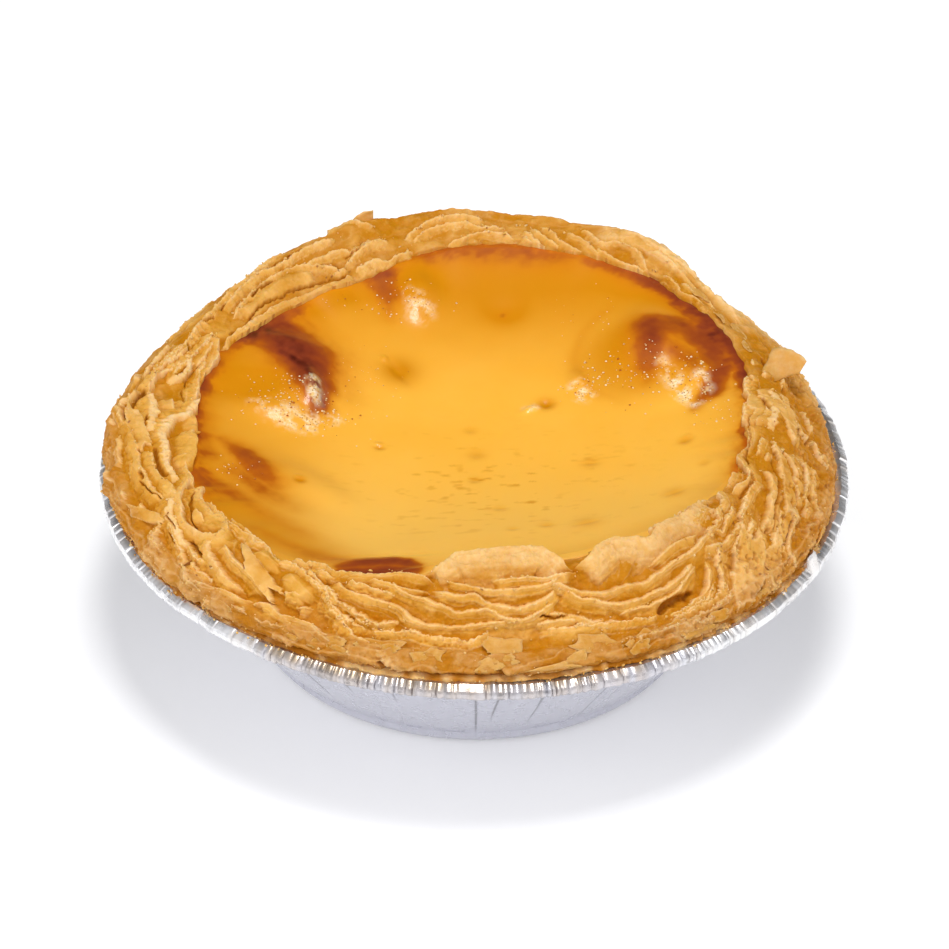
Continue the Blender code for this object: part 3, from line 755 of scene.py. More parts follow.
# where tiny bubbles dot the skin: x, y, spread in x, spread in y, how many, largest radius in mm
BUBBLE_FIELDS = (
    (-19.5, 4.6, 4.6, 3.2, 150, 0.17), (-16.0, 3.0, 3.0, 2.4, 50, 0.20), (-8.0, 22.5, 3.6, 3.2, 60, 0.17),
    (16.0, 11.0, 4.2, 3.6, 110, 0.19), (22.6, 8.6, 3.0, 3.4, 70, 0.22), (11.0, 9.2, 1.6, 1.6, 40, 0.17),
    (25.0, 2.0, 2.6, 3.0, 30, 0.16), (-24.5, -8.5, 2.2, 2.2, 26, 0.18), (-12.0, 10.0, 4.0, 6.0, 46, 0.12),
    (12.0, 20.0, 4.0, 4.0, 30, 0.11), (-16.0, 22.0, 3.0, 2.4, 34, 0.14),
)


def build_bubbles():
    rng = np.random.default_rng(77)
    unit, faces = dome_template()
    verts, tris, n = [], [], 0
    burn_all, amber_all, froth_and_glint_all = [], [], []
    for cx, cy, sx, sy, count, biggest in BUBBLE_FIELDS:
        x, y = rng.normal(cx, sx * 0.6, count), rng.normal(cy, sy * 0.6, count)
        z, share = custard_surface(x, y)
        burn, amber, _ = skin_marks(x, y, share)
        radius = biggest * (0.28 + 0.50 * rng.random(count) ** 2.2)
        for i in range(count):
            if share[i] > 0.985:
                continue
            r = radius[i]
            p = unit * np.array([r, r, r * 0.8]) + np.array([x[i], y[i], z[i] + 0.01])
            verts.append(p * MM)
            tris.append(faces + n)
            n += len(unit)
            # painted highlight: most bubbles take the pale foam colour as a glint; the rest are painted dark as shaded
            # pits
            painted_shine = rng.random() < 0.84
            burn_all.append(np.full(len(unit), burn[i] * 0.9 if painted_shine else 0.38))
            amber_all.append(np.full(len(unit), amber[i]))
            froth_and_glint_all.append(np.full(len(unit), 0.9 if painted_shine else 0.0))
    attrs = {"burn": np.concatenate(burn_all), "amber": np.concatenate(amber_all), "froth_and_highlight": np.concatenate(froth_and_glint_all)}
    return make_piece("custard_bubbles", np.vstack(verts), np.zeros((0, 4), int), CUSTARD, attrs,
                      np.vstack(tris))


# ============================================================ pastry
def foot_to_rim(az):
    return stations(INNER_R, az) - 0.15, np.maximum(stations(FOOT_R, az), stations(SHOULDER_R, az)) - 0.2


def openness(az, share):
    """1 where the leaves' edges show, 0 where a baked skin covers them. share: 0 inner edge, 1 foot."""
    front = arc(az, 272, 38, 12) * (1 - ramp(share, 0.80, 0.90))
    left = arc(az, 195, 42, 12) * (1 - ramp(share, 0.86, 0.97))
    right = arc(az, 345, 40, 12) * (1 - ramp(share, 0.84, 0.95))
    back = arc(az, 90, 68, 12) * (1 - ramp(share, 0.90, 1.0)) * 0.8 * (1 - 0.9 * arc(az, 46, 17, 8) * ramp(share, 0.30, 0.45))
    return np.clip(np.maximum.reduce([front, left, right, back]), 0, 1)


class Surface:
    """The outline as a surface: azimuth in degrees and v from 0 at the foot to 1 at the inner edge."""

    def __init__(self):
        self.n = 1440
        self.az = np.arange(self.n) * 360.0 / self.n
        r, z = envelope(self.az)
        # even spacing along each outline
        rows = 60
        out_r, out_z = np.empty((rows, self.n)), np.empty((rows, self.n))
        for i in range(self.n):
            d = np.concatenate([[0], np.cumsum(np.hypot(np.diff(r[:, i]), np.diff(z[:, i])))])
            g = np.linspace(0, d[-1], rows)
            out_r[:, i], out_z[:, i] = np.interp(g, d, r[:, i]), np.interp(g, d, z[:, i])
        self.r, self.z = out_r, out_z
        dr, dz = np.gradient(out_r, axis=0), np.gradient(out_z, axis=0)
        length = np.hypot(dr, dz) + 1e-9
        self.nr, self.nz = dz / length, -dr / length
        self.length = np.mean(np.sum(np.hypot(np.diff(out_r, axis=0), np.diff(out_z, axis=0)), 0))
        self.rows = rows

    def sample(self, table, az, v):
        x = (np.asarray(az) % 360.0) / 360.0 * self.n
        y = np.clip(v, 0, 1) * (self.rows - 1)
        i, j = np.floor(x).astype(int), np.minimum(np.floor(y).astype(int), self.rows - 2)
        fx, fy = x - i, y - j
        i0, i1 = i % self.n, (i + 1) % self.n
        return ((table[j, i0] * (1 - fx) + table[j, i1] * fx) * (1 - fy)
                + (table[j + 1, i0] * (1 - fx) + table[j + 1, i1] * fx) * fy)

    def point(self, az, v, lift):
        """Points in mm, lifted off the surface."""
        r = self.sample(self.r, az, v) + lift * self.sample(self.nr, az, v)
        z = self.sample(self.z, az, v) + lift * self.sample(self.nz, az, v)
        a = np.radians(az)
        return np.stack([r * np.cos(a), r * np.sin(a), z], -1)


SURFACE = Surface()


def strata(p, v_mm, az):
    """Shingle relief of the outer skin: height in mm and how pale each spot is."""
    warp = fractal(p / np.array([2.4, 2.4, 1.2]), 3, 61)
    phase = v_mm / 1.15 + 0.95 * ring_noise(11, 62)(az) + 0.55 * ring_noise(34, 63)(az) + 0.38 * warp
    f = phase - np.floor(phase)
    which = np.floor(phase)
    strength = ramp(noise3(np.stack([az / 9.0, which * 7.3, 0 * az], -1), 64), -0.45, 0.35)
    rise = ramp(f, 0.0, 0.80) * (1 - ramp(f, 0.93, 1.0))
    return 0.30 * strength * rise, strength * np.exp(-(((f - 0.90) / 0.09) ** 2))


def patches(p):
    """Ragged thin scales stuck to the skin: height in mm and how pale each spot is. p in mm."""
    warp = np.stack([fractal(p / 1.2, 3, 71), fractal(p / 1.2, 3, 72), fractal(p / 1.2, 3, 73)], -1)
    q = (p + 0.50 * warp) * np.array([1.0, 1.0, 1.35])
    height, pale = np.zeros(len(p)), np.zeros(len(p))
    for k, (size, cut, rise) in enumerate(((3.4, 0.12, 0.13), (2.1, 0.30, 0.10), (1.4, 0.42, 0.08))):
        n = fractal(q / size, 3, 80 + 9 * k, 0.5)
        step = ramp(n, cut - 0.05, cut + 0.07)
        height += rise * step
        pale += (0.30, 0.24, 0.20)[k] * step * (0.5 + 0.5 * ramp(n, cut + 0.6, cut))
    return height, pale


def skin_bubbles(p):
    """Small round blisters of the baked skin, in mm."""
    rng = np.random.default_rng(91)
    out = np.zeros(len(p))
    spots = [(rng.uniform(192, 224), rng.uniform(20.6, 24.4), rng.uniform(0.35, 1.1)) for _ in range(70)]
    spots += [(rng.uniform(0, 360), rng.uniform(20.0, 24.6), rng.uniform(0.3, 0.9)) for _ in range(110)]
    az = np.degrees(np.arctan2(p[:, 1], p[:, 0]))
    for a, z, size in spots:
        d2 = ((turn(az, a) * 0.645) ** 2 + (p[:, 2] - z) ** 2) / size**2
        out += 0.30 * size * np.exp(-(d2**1.4))
    return np.clip(out, 0, 0.55)


# visible leaf edges: kind, then points as (azimuth, v across the outline: 0 at the foot, 1 at the custard).
# F free edge over a smooth face, C crumbly edge, R ribbon, P broad ribbon, N faint ledge, D dome, S skin ridge,
# A and B the two front leaves that lean over the custard
EDGES = (
    ('A', ((261.0, 0.867), (262.8, 0.917), (265.0, 0.942), (266.2, 1.000), (270.8, 1.000), (272.5, 1.000), (277.2, 1.000), (282.5, 1.000), (285.2, 0.933), (286.5, 0.842), (288.5, 0.767))),
    ('F', ((272.8, 0.725), (274.2, 0.746), (278.0, 0.746), (282.5, 0.738), (286.2, 0.746), (288.8, 0.746))),
    ('F', ((264.8, 0.775), (266.0, 0.762), (268.5, 0.733), (271.2, 0.700), (275.0, 0.675), (279.2, 0.671), (282.2, 0.683), (285.2, 0.717), (287.0, 0.733))),
    ('F', ((262.8, 0.688), (264.8, 0.675), (267.5, 0.654), (270.5, 0.646), (272.2, 0.617), (274.8, 0.558), (277.8, 0.542), (280.5, 0.554), (283.2, 0.596), (284.8, 0.671))),
    ('N', ((260.2, 0.679), (263.2, 0.650), (266.2, 0.629), (269.0, 0.600), (271.8, 0.575), (273.8, 0.537))),
    ('N', ((265.5, 0.713), (267.8, 0.688), (270.8, 0.667), (273.8, 0.637), (276.5, 0.621), (280.0, 0.621), (283.0, 0.654))),
    ('F', ((255.0, 0.846), (257.0, 0.750), (258.5, 0.692), (261.8, 0.633), (264.8, 0.575), (267.8, 0.529), (270.8, 0.533), (272.5, 0.550), (274.2, 0.508), (275.8, 0.475), (278.8, 0.458), (281.2, 0.487), (283.2, 0.537), (285.2, 0.588))),
    ('F', ((245.2, 0.842), (247.5, 0.729), (249.8, 0.679), (252.5, 0.642), (255.5, 0.604), (258.0, 0.546), (260.2, 0.471), (263.8, 0.429), (266.5, 0.412), (269.2, 0.421), (272.5, 0.438), (274.8, 0.450), (277.2, 0.438))),
    ('F', ((246.0, 0.945), (249.5, 0.915), (253.5, 0.905), (257.5, 0.875), (260.5, 0.815), (263.0, 0.755))),
    ('F', ((250.5, 0.850), (254.0, 0.800), (256.5, 0.760), (259.5, 0.715), (262.5, 0.675))),
    ('C', ((247.0, 0.830), (249.5, 0.775), (252.5, 0.730), (255.5, 0.690), (258.0, 0.650))),
    ('N', ((259.2, 0.421), (262.0, 0.412), (264.2, 0.396), (266.5, 0.388), (269.2, 0.392), (271.5, 0.404), (273.5, 0.417))),
    ('C', ((253.0, 0.375), (255.2, 0.371), (258.2, 0.383), (261.0, 0.375), (263.8, 0.342), (266.5, 0.321), (269.2, 0.308), (270.8, 0.325), (272.8, 0.383), (274.2, 0.400))),
    ('F', ((279.5, 0.404), (282.2, 0.412), (284.8, 0.421), (287.2, 0.404), (289.5, 0.375))),
    ('F', ((280.8, 0.379), (284.0, 0.362), (286.8, 0.350), (289.8, 0.350), (291.2, 0.342))),
    ('C', ((239.5, 0.912), (241.8, 0.796), (244.0, 0.717), (245.8, 0.688), (247.0, 0.596), (248.5, 0.567), (249.5, 0.546), (250.5, 0.508), (252.0, 0.487), (253.0, 0.446), (254.8, 0.425), (256.5, 0.446), (258.8, 0.458))),
    ('C', ((237.5, 0.900), (240.8, 0.775), (243.2, 0.700), (244.8, 0.692), (245.5, 0.608), (247.2, 0.525), (249.0, 0.450), (250.8, 0.404), (252.2, 0.371), (254.2, 0.367))),
    ('C', ((245.5, 0.575), (247.0, 0.496), (248.8, 0.433), (250.2, 0.350), (251.8, 0.283), (253.0, 0.258), (255.2, 0.250))),
    ('C', ((249.8, 0.487), (251.5, 0.450), (253.0, 0.408), (254.2, 0.392))),
    ('F', ((242.5, 0.325), (244.2, 0.304), (246.2, 0.254), (248.0, 0.204), (249.8, 0.188))),
    ('S', ((253.5, 0.150), (255.0, 0.167), (257.2, 0.133), (259.2, 0.042), (261.2, 0.000))),
    ('B', ((289.2, 0.783), (292.0, 0.838), (296.8, 0.942), (298.8, 0.954), (302.2, 0.883), (305.0, 0.842), (308.0, 0.896), (311.5, 0.912), (315.0, 0.925), (317.2, 0.900), (319.5, 0.925), (321.8, 0.942), (323.8, 0.950))),
    ('F', ((282.2, 0.721), (284.8, 0.683), (287.0, 0.642), (289.8, 0.592), (293.0, 0.562), (295.8, 0.571), (298.5, 0.567), (301.0, 0.546), (304.0, 0.588), (307.2, 0.617), (311.2, 0.637), (314.0, 0.667), (316.5, 0.683), (319.2, 0.704))),
    ('N', ((295.8, 0.579), (297.8, 0.613), (299.5, 0.679), (301.5, 0.762), (303.0, 0.833))),
    ('N', ((295.5, 1.000), (297.0, 0.883), (297.5, 0.787), (297.2, 0.688), (296.0, 0.600))),
    ('F', ((302.0, 0.646), (304.5, 0.688), (308.0, 0.721), (311.8, 0.725), (315.0, 0.717))),
    ('F', ((285.0, 0.671), (286.2, 0.637), (289.2, 0.550), (293.8, 0.479), (296.0, 0.446), (299.0, 0.450), (302.2, 0.462), (304.5, 0.479), (307.8, 0.504), (310.0, 0.542), (311.5, 0.575))),
    ('F', ((293.5, 0.371), (296.2, 0.396), (299.2, 0.388), (301.8, 0.388), (305.0, 0.408), (307.2, 0.450), (309.0, 0.496), (310.8, 0.521), (311.8, 0.550))),
    ('F', ((281.5, 0.458), (284.2, 0.462), (287.8, 0.425), (289.8, 0.379), (291.5, 0.371), (293.2, 0.371))),
    ('C', ((281.2, 0.379), (283.5, 0.371), (286.0, 0.354), (288.5, 0.362), (292.5, 0.342), (297.0, 0.312), (299.2, 0.300), (301.8, 0.304), (302.5, 0.312))),
    ('F', ((302.5, 0.300), (304.8, 0.271), (306.5, 0.275), (308.5, 0.300), (310.8, 0.329), (312.0, 0.392), (313.0, 0.462), (313.5, 0.546))),
    ('C', ((302.0, 0.246), (304.2, 0.242), (306.5, 0.233), (308.5, 0.237), (310.2, 0.246), (312.2, 0.263), (314.5, 0.287), (316.2, 0.304))),
    ('C', ((302.0, 0.204), (304.5, 0.192), (306.8, 0.183), (309.0, 0.188), (311.2, 0.192), (313.2, 0.208), (315.0, 0.237), (316.8, 0.267))),
    ('C', ((303.5, 0.254), (305.8, 0.250), (308.2, 0.263), (310.5, 0.283), (312.5, 0.329), (314.0, 0.367))),
    ('C', ((293.2, 0.163), (295.8, 0.175), (299.5, 0.167), (303.8, 0.154), (307.2, 0.138), (309.8, 0.142), (311.8, 0.167))),
    ('R', ((327.5, 0.521), (325.2, 0.417), (322.5, 0.342), (320.5, 0.279), (318.0, 0.217), (315.8, 0.171), (314.2, 0.092), (314.8, 0.000))),
    ('C', ((323.2, 0.533), (321.2, 0.525), (319.5, 0.479), (319.5, 0.412), (319.2, 0.346), (317.8, 0.329), (316.0, 0.367), (315.2, 0.396))),
    ('C', ((314.5, 0.542), (315.5, 0.537), (316.8, 0.525), (315.0, 0.467), (315.0, 0.400), (315.0, 0.346), (313.5, 0.275), (311.8, 0.254))),
    ('C', ((314.2, 0.675), (316.0, 0.583), (318.8, 0.571), (320.8, 0.592), (323.2, 0.613), (325.2, 0.654))),
    ('C', ((316.8, 0.679), (318.8, 0.683), (319.8, 0.646), (321.5, 0.700), (324.5, 0.725), (326.5, 0.767))),
    ('C', ((316.5, 0.908), (316.2, 0.833), (318.2, 0.842), (321.0, 0.875), (323.2, 0.892))),
    ('R', ((335.2, 0.525), (333.2, 0.454), (330.8, 0.404), (328.2, 0.371), (326.5, 0.271), (323.2, 0.200), (320.5, 0.142))),
    ('C', ((339.0, 0.404), (336.2, 0.350), (333.0, 0.321), (330.2, 0.283), (328.5, 0.204), (328.5, 0.133), (328.0, 0.017))),
    ('C', ((309.5, 0.000), (311.5, 0.000), (313.5, 0.000), (314.2, 0.000))),
    ('S', ((321.0, 0.075), (324.8, 0.008), (328.0, 0.008), (329.5, 0.067))),
    ('C', ((12.8, 1.000), (12.8, 0.954), (11.8, 0.912), (9.2, 0.896))),
    ('R', ((8.5, 1.000), (6.5, 0.967), (3.0, 0.950), (0.0, 0.917), (357.2, 0.900), (354.2, 0.917), (352.5, 0.929))),
    ('R', ((7.8, 0.908), (5.8, 0.867), (2.8, 0.850), (359.2, 0.829), (356.2, 0.833), (354.2, 0.862), (351.8, 0.871))),
    ('R', ((7.2, 0.842), (4.8, 0.804), (1.5, 0.775), (358.2, 0.796), (355.2, 0.800), (351.8, 0.796))),
    ('P', ((7.5, 0.733), (5.0, 0.708), (1.5, 0.692), (358.0, 0.704), (355.5, 0.662), (353.8, 0.617), (352.5, 0.554), (352.0, 0.492))),
    ('F', ((354.8, 0.929), (348.8, 0.942), (344.0, 0.938), (342.2, 0.971), (338.5, 0.912), (336.5, 0.850), (335.2, 0.808), (333.2, 0.808), (331.0, 0.838), (328.5, 0.858))),
    ('P', ((338.8, 0.783), (338.8, 0.738), (338.0, 0.688), (336.0, 0.625), (334.0, 0.575), (331.5, 0.533), (329.0, 0.500), (326.8, 0.454))),
    ('R', ((345.2, 0.683), (342.2, 0.633), (340.0, 0.558), (337.2, 0.500), (335.2, 0.438), (332.5, 0.400), (329.8, 0.362), (327.5, 0.333))),
    ('R', ((349.2, 0.654), (347.0, 0.613), (346.2, 0.542), (344.8, 0.492), (342.0, 0.462), (341.0, 0.396), (338.2, 0.362))),
    ('C', ((347.8, 0.604), (348.5, 0.508), (348.0, 0.438), (345.5, 0.375), (342.2, 0.354), (340.8, 0.283), (337.5, 0.263))),
    ('C', ((0.2, 0.537), (357.0, 0.521), (356.8, 0.429), (357.8, 0.342), (356.2, 0.287), (354.5, 0.221), (351.8, 0.200))),
    ('C', ((5.2, 0.613), (1.2, 0.613), (358.0, 0.571), (355.8, 0.537))),
    ('C', ((350.2, 0.758), (347.2, 0.746), (346.0, 0.713), (347.5, 0.667), (350.0, 0.658))),
    ('C', ((336.5, 0.796), (334.5, 0.750), (332.2, 0.742), (329.8, 0.738), (327.2, 0.696), (325.0, 0.654), (324.0, 0.588), (321.8, 0.550), (319.5, 0.479))),
    ('C', ((338.0, 0.975), (335.2, 0.946), (333.0, 0.946), (330.5, 0.946))),
    ('C', ((330.0, 0.950), (327.0, 0.908), (325.0, 0.821), (322.0, 0.796), (320.2, 0.725), (318.0, 0.713), (315.8, 0.667))),
    ('C', ((319.0, 0.917), (321.0, 0.933), (322.8, 0.946), (324.8, 0.954), (324.0, 0.900))),
    ('P', ((328.2, 0.517), (326.0, 0.475), (324.2, 0.417), (322.2, 0.358))),
    ('C', ((327.8, 0.654), (326.8, 0.596), (324.8, 0.546), (322.8, 0.517), (321.8, 0.442), (319.8, 0.404))),
    ('C', ((328.2, 0.392), (328.8, 0.325), (328.2, 0.263), (326.2, 0.237))),
    ('C', ((358.2, 0.304), (355.2, 0.254), (354.2, 0.196))),
    ('C', ((339.0, 0.450), (337.5, 0.383), (334.5, 0.346), (331.5, 0.317), (329.5, 0.279))),
    ('S', ((351.8, 0.392), (349.5, 0.321), (345.5, 0.287), (342.2, 0.208), (338.0, 0.171))),
    ('F', ((154.2, 0.833), (156.8, 0.908), (159.8, 0.967), (162.8, 0.983), (167.2, 1.000), (171.8, 1.000))),
    ('R', ((162.0, 0.825), (164.0, 0.825), (166.0, 0.862), (168.5, 0.875), (170.8, 0.858), (172.5, 0.812), (173.8, 0.754))),
    ('N', ((171.2, 0.867), (174.8, 0.883), (178.8, 0.879), (181.5, 0.879))),
    ('F', ((156.2, 0.867), (160.8, 0.904), (165.0, 0.904), (167.0, 0.883))),
    ('R', ((176.2, 1.000), (180.2, 0.983), (183.0, 0.925), (185.2, 0.842), (188.8, 0.808), (192.0, 0.804), (195.5, 0.804), (199.0, 0.800), (202.2, 0.800), (205.0, 0.821))),
    ('D', ((187.2, 0.958), (192.5, 0.963), (197.0, 0.950), (200.8, 0.929))),
    ('R', ((192.8, 0.683), (196.5, 0.675), (199.5, 0.675), (202.5, 0.688), (205.0, 0.721), (207.2, 0.717), (209.2, 0.667))),
    ('R', ((176.2, 0.683), (180.2, 0.729), (183.8, 0.738), (187.2, 0.733), (190.2, 0.700))),
    ('R', ((180.8, 0.633), (184.0, 0.608), (187.2, 0.596), (190.5, 0.592), (194.0, 0.583), (196.8, 0.575), (199.0, 0.579), (201.5, 0.579), (203.5, 0.579), (206.2, 0.600), (207.5, 0.608))),
    ('C', ((177.8, 0.367), (181.0, 0.458), (184.8, 0.496), (186.5, 0.521))),
    ('C', ((175.5, 0.625), (178.2, 0.550), (179.8, 0.450), (178.0, 0.388))),
    ('C', ((179.2, 0.554), (182.2, 0.546), (185.5, 0.546), (188.0, 0.562))),
    ('C', ((197.0, 0.558), (199.5, 0.558), (202.0, 0.567), (204.5, 0.579), (207.2, 0.596))),
    ('R', ((201.2, 1.000), (202.2, 0.971), (204.2, 0.892), (206.8, 0.796), (209.5, 0.708), (211.8, 0.646), (214.0, 0.613), (216.5, 0.625), (218.8, 0.650), (220.5, 0.708), (220.5, 0.792), (218.8, 0.900))),
    ('R', ((205.0, 1.000), (207.2, 0.967), (209.8, 0.900), (212.8, 0.892), (215.8, 0.879), (217.5, 0.917), (219.8, 0.883), (222.0, 0.800))),
    ('C', ((217.2, 1.000), (218.8, 1.000), (221.0, 1.000), (223.2, 1.000), (225.8, 0.942), (228.5, 0.954), (231.5, 0.900), (233.8, 0.875))),
    ('R', ((207.0, 0.733), (209.5, 0.642), (210.8, 0.567), (212.8, 0.546), (215.0, 0.517), (216.8, 0.479), (219.2, 0.458))),
    ('C', ((209.8, 0.554), (210.2, 0.475), (210.8, 0.383), (211.8, 0.296), (213.2, 0.229))),
    ('C', ((210.2, 0.567), (212.0, 0.579), (214.0, 0.571))),
    ('C', ((175.2, 0.629), (172.8, 0.646), (170.8, 0.683), (168.8, 0.742), (166.5, 0.771), (164.2, 0.800))),
    ('C', ((171.5, 0.600), (169.8, 0.650), (166.5, 0.688), (163.5, 0.700), (160.0, 0.713))),
    ('C', ((173.0, 0.567), (169.0, 0.567), (165.8, 0.592), (162.8, 0.600), (160.2, 0.617))),
    ('S', ((185.5, 0.417), (189.5, 0.438), (192.0, 0.388), (195.5, 0.383))),
    ('R', ((221.0, 0.704), (221.5, 0.604), (223.2, 0.525), (225.2, 0.475), (227.5, 0.425), (229.5, 0.400), (231.5, 0.375))),
    ('F', ((222.2, 0.721), (224.5, 0.688), (226.2, 0.629), (228.5, 0.613), (230.8, 0.583), (232.5, 0.542), (234.5, 0.483), (235.8, 0.421))),
    ('D', ((235.8, 0.717), (238.5, 0.650), (241.2, 0.575), (243.5, 0.525))),
    ('D', ((228.5, 0.862), (232.0, 0.771), (235.0, 0.700))),
    ('C', ((217.2, 1.000), (219.2, 1.000), (221.2, 1.000), (224.0, 0.975), (226.5, 0.912), (227.8, 0.925), (229.5, 0.946), (232.5, 0.858), (234.8, 0.858), (237.0, 0.875), (239.8, 0.812))),
    ('N', ((223.5, 0.904), (224.5, 0.792), (225.8, 0.662), (226.2, 0.625))),
    ('C', ((218.5, 0.400), (220.2, 0.367), (222.5, 0.346), (224.5, 0.338), (227.0, 0.317))),
    ('F', ((221.8, 0.229), (223.8, 0.258), (225.5, 0.279), (227.8, 0.321), (229.2, 0.317), (231.5, 0.317), (233.5, 0.342))),
    ('C', ((216.0, 0.454), (217.0, 0.479), (219.0, 0.462), (221.0, 0.442), (223.2, 0.462), (224.5, 0.442))),
    ('C', ((210.0, 0.550), (212.8, 0.492), (215.8, 0.425), (217.8, 0.362), (220.0, 0.292), (222.0, 0.237), (224.2, 0.217), (226.8, 0.212))),
    ('C', ((229.5, 0.212), (231.2, 0.221), (232.8, 0.242), (234.2, 0.158))),
    ('F', ((233.2, 0.304), (234.8, 0.375), (236.8, 0.392), (238.5, 0.338), (240.5, 0.333), (242.2, 0.329), (244.2, 0.321), (246.5, 0.267), (248.8, 0.229))),
    ('C', ((234.0, 0.229), (235.5, 0.221), (237.2, 0.212), (239.2, 0.225), (241.2, 0.196))),
    ('C', ((239.8, 0.812), (241.5, 0.729), (243.8, 0.667), (245.2, 0.671), (246.2, 0.596), (247.5, 0.525))),
    ('C', ((240.5, 0.879), (242.5, 0.871), (244.0, 0.887), (245.5, 0.862))),
    ('C', ((224.5, 0.000), (226.5, 0.146), (226.8, 0.225))),
    ('C', ((210.2, 0.400), (211.2, 0.325), (213.5, 0.300), (215.8, 0.304))),
    ('S', ((208.8, 0.171), (212.5, 0.154), (214.8, 0.033), (218.5, 0.013), (222.0, 0.000))),
    ('R', ((155.2, 0.954), (150.0, 0.979), (144.2, 0.958), (139.8, 0.946), (135.5, 0.954), (130.5, 0.975), (126.0, 0.967), (121.8, 0.967), (117.8, 0.950))),
    ('D', ((147.5, 0.875), (141.8, 0.862), (135.8, 0.829), (130.5, 0.829), (125.2, 0.862))),
    ('C', ((149.5, 0.838), (144.2, 0.779), (139.0, 0.729), (134.5, 0.717), (129.2, 0.729), (125.2, 0.771), (122.0, 0.846), (119.5, 0.908))),
    ('C', ((149.8, 0.692), (145.0, 0.692), (139.2, 0.646), (134.8, 0.629), (132.0, 0.654), (128.0, 0.646), (124.0, 0.629), (120.5, 0.633), (116.8, 0.646))),
    ('C', ((154.2, 0.675), (148.8, 0.662), (142.8, 0.621), (138.0, 0.600), (133.5, 0.579), (129.2, 0.550), (126.5, 0.596))),
    ('C', ((169.8, 0.613), (165.0, 0.658), (159.8, 0.700), (155.8, 0.675), (151.0, 0.692))),
    ('C', ((176.8, 0.658), (172.0, 0.658), (166.5, 0.683), (163.2, 0.738), (159.2, 0.721))),
    ('C', ((171.8, 0.771), (167.5, 0.787), (163.8, 0.817), (159.0, 0.842), (154.2, 0.804))),
    ('C', ((127.8, 0.746), (123.8, 0.738), (119.2, 0.750), (116.0, 0.783), (112.8, 0.775), (109.8, 0.771))),
    ('C', ((124.0, 0.900), (119.0, 0.879), (115.2, 0.812), (110.8, 0.787), (107.0, 0.804))),
    ('C', ((119.8, 0.975), (115.8, 0.925), (112.8, 0.917), (109.8, 0.958), (106.8, 0.946), (102.5, 0.967))),
    ('C', ((119.5, 0.533), (115.5, 0.537), (112.5, 0.625), (109.0, 0.692))),
    ('C', ((106.2, 0.871), (103.0, 0.808), (99.5, 0.750), (95.8, 0.742), (91.8, 0.758), (87.8, 0.796))),
    ('C', ((105.0, 0.904), (100.8, 0.833), (96.8, 0.812), (92.5, 0.821), (88.5, 0.854), (84.2, 0.833))),
    ('C', ((97.2, 0.963), (92.8, 0.938), (89.2, 0.912), (85.8, 0.912), (82.2, 0.979))),
    ('F', ((91.5, 0.942), (88.2, 0.912), (85.0, 0.933), (82.0, 0.987))),
    ('C', ((82.8, 0.812), (79.8, 0.904), (77.8, 0.992), (75.2, 1.000))),
    ('C', ((81.2, 0.800), (78.2, 0.875), (75.2, 0.958), (72.2, 0.996))),
    ('C', ((79.5, 0.783), (76.0, 0.842), (73.8, 0.925), (70.8, 0.958), (67.8, 0.987))),
    ('C', ((81.8, 0.887), (80.0, 0.963), (78.5, 1.000))),
    ('F', ((74.5, 0.796), (72.0, 0.846), (69.2, 0.883), (66.2, 0.954), (63.2, 0.975))),
    ('C', ((72.2, 0.767), (69.0, 0.804), (65.8, 0.858), (63.0, 0.825), (60.2, 0.821), (57.5, 0.854), (55.0, 0.946), (53.0, 0.942))),
    ('C', ((67.8, 0.900), (65.0, 0.938), (61.8, 0.975), (58.0, 0.983), (54.0, 0.971))),
    ('C', ((52.5, 0.933), (48.2, 0.917), (44.2, 0.963), (39.5, 0.938), (35.2, 0.979))),
    ('C', ((48.0, 0.904), (45.0, 0.875), (41.5, 0.892), (39.2, 0.842), (35.8, 0.938))),
    ('S', ((57.2, 0.733), (53.5, 0.779), (48.8, 0.808), (43.0, 0.854), (35.8, 0.858))),
)
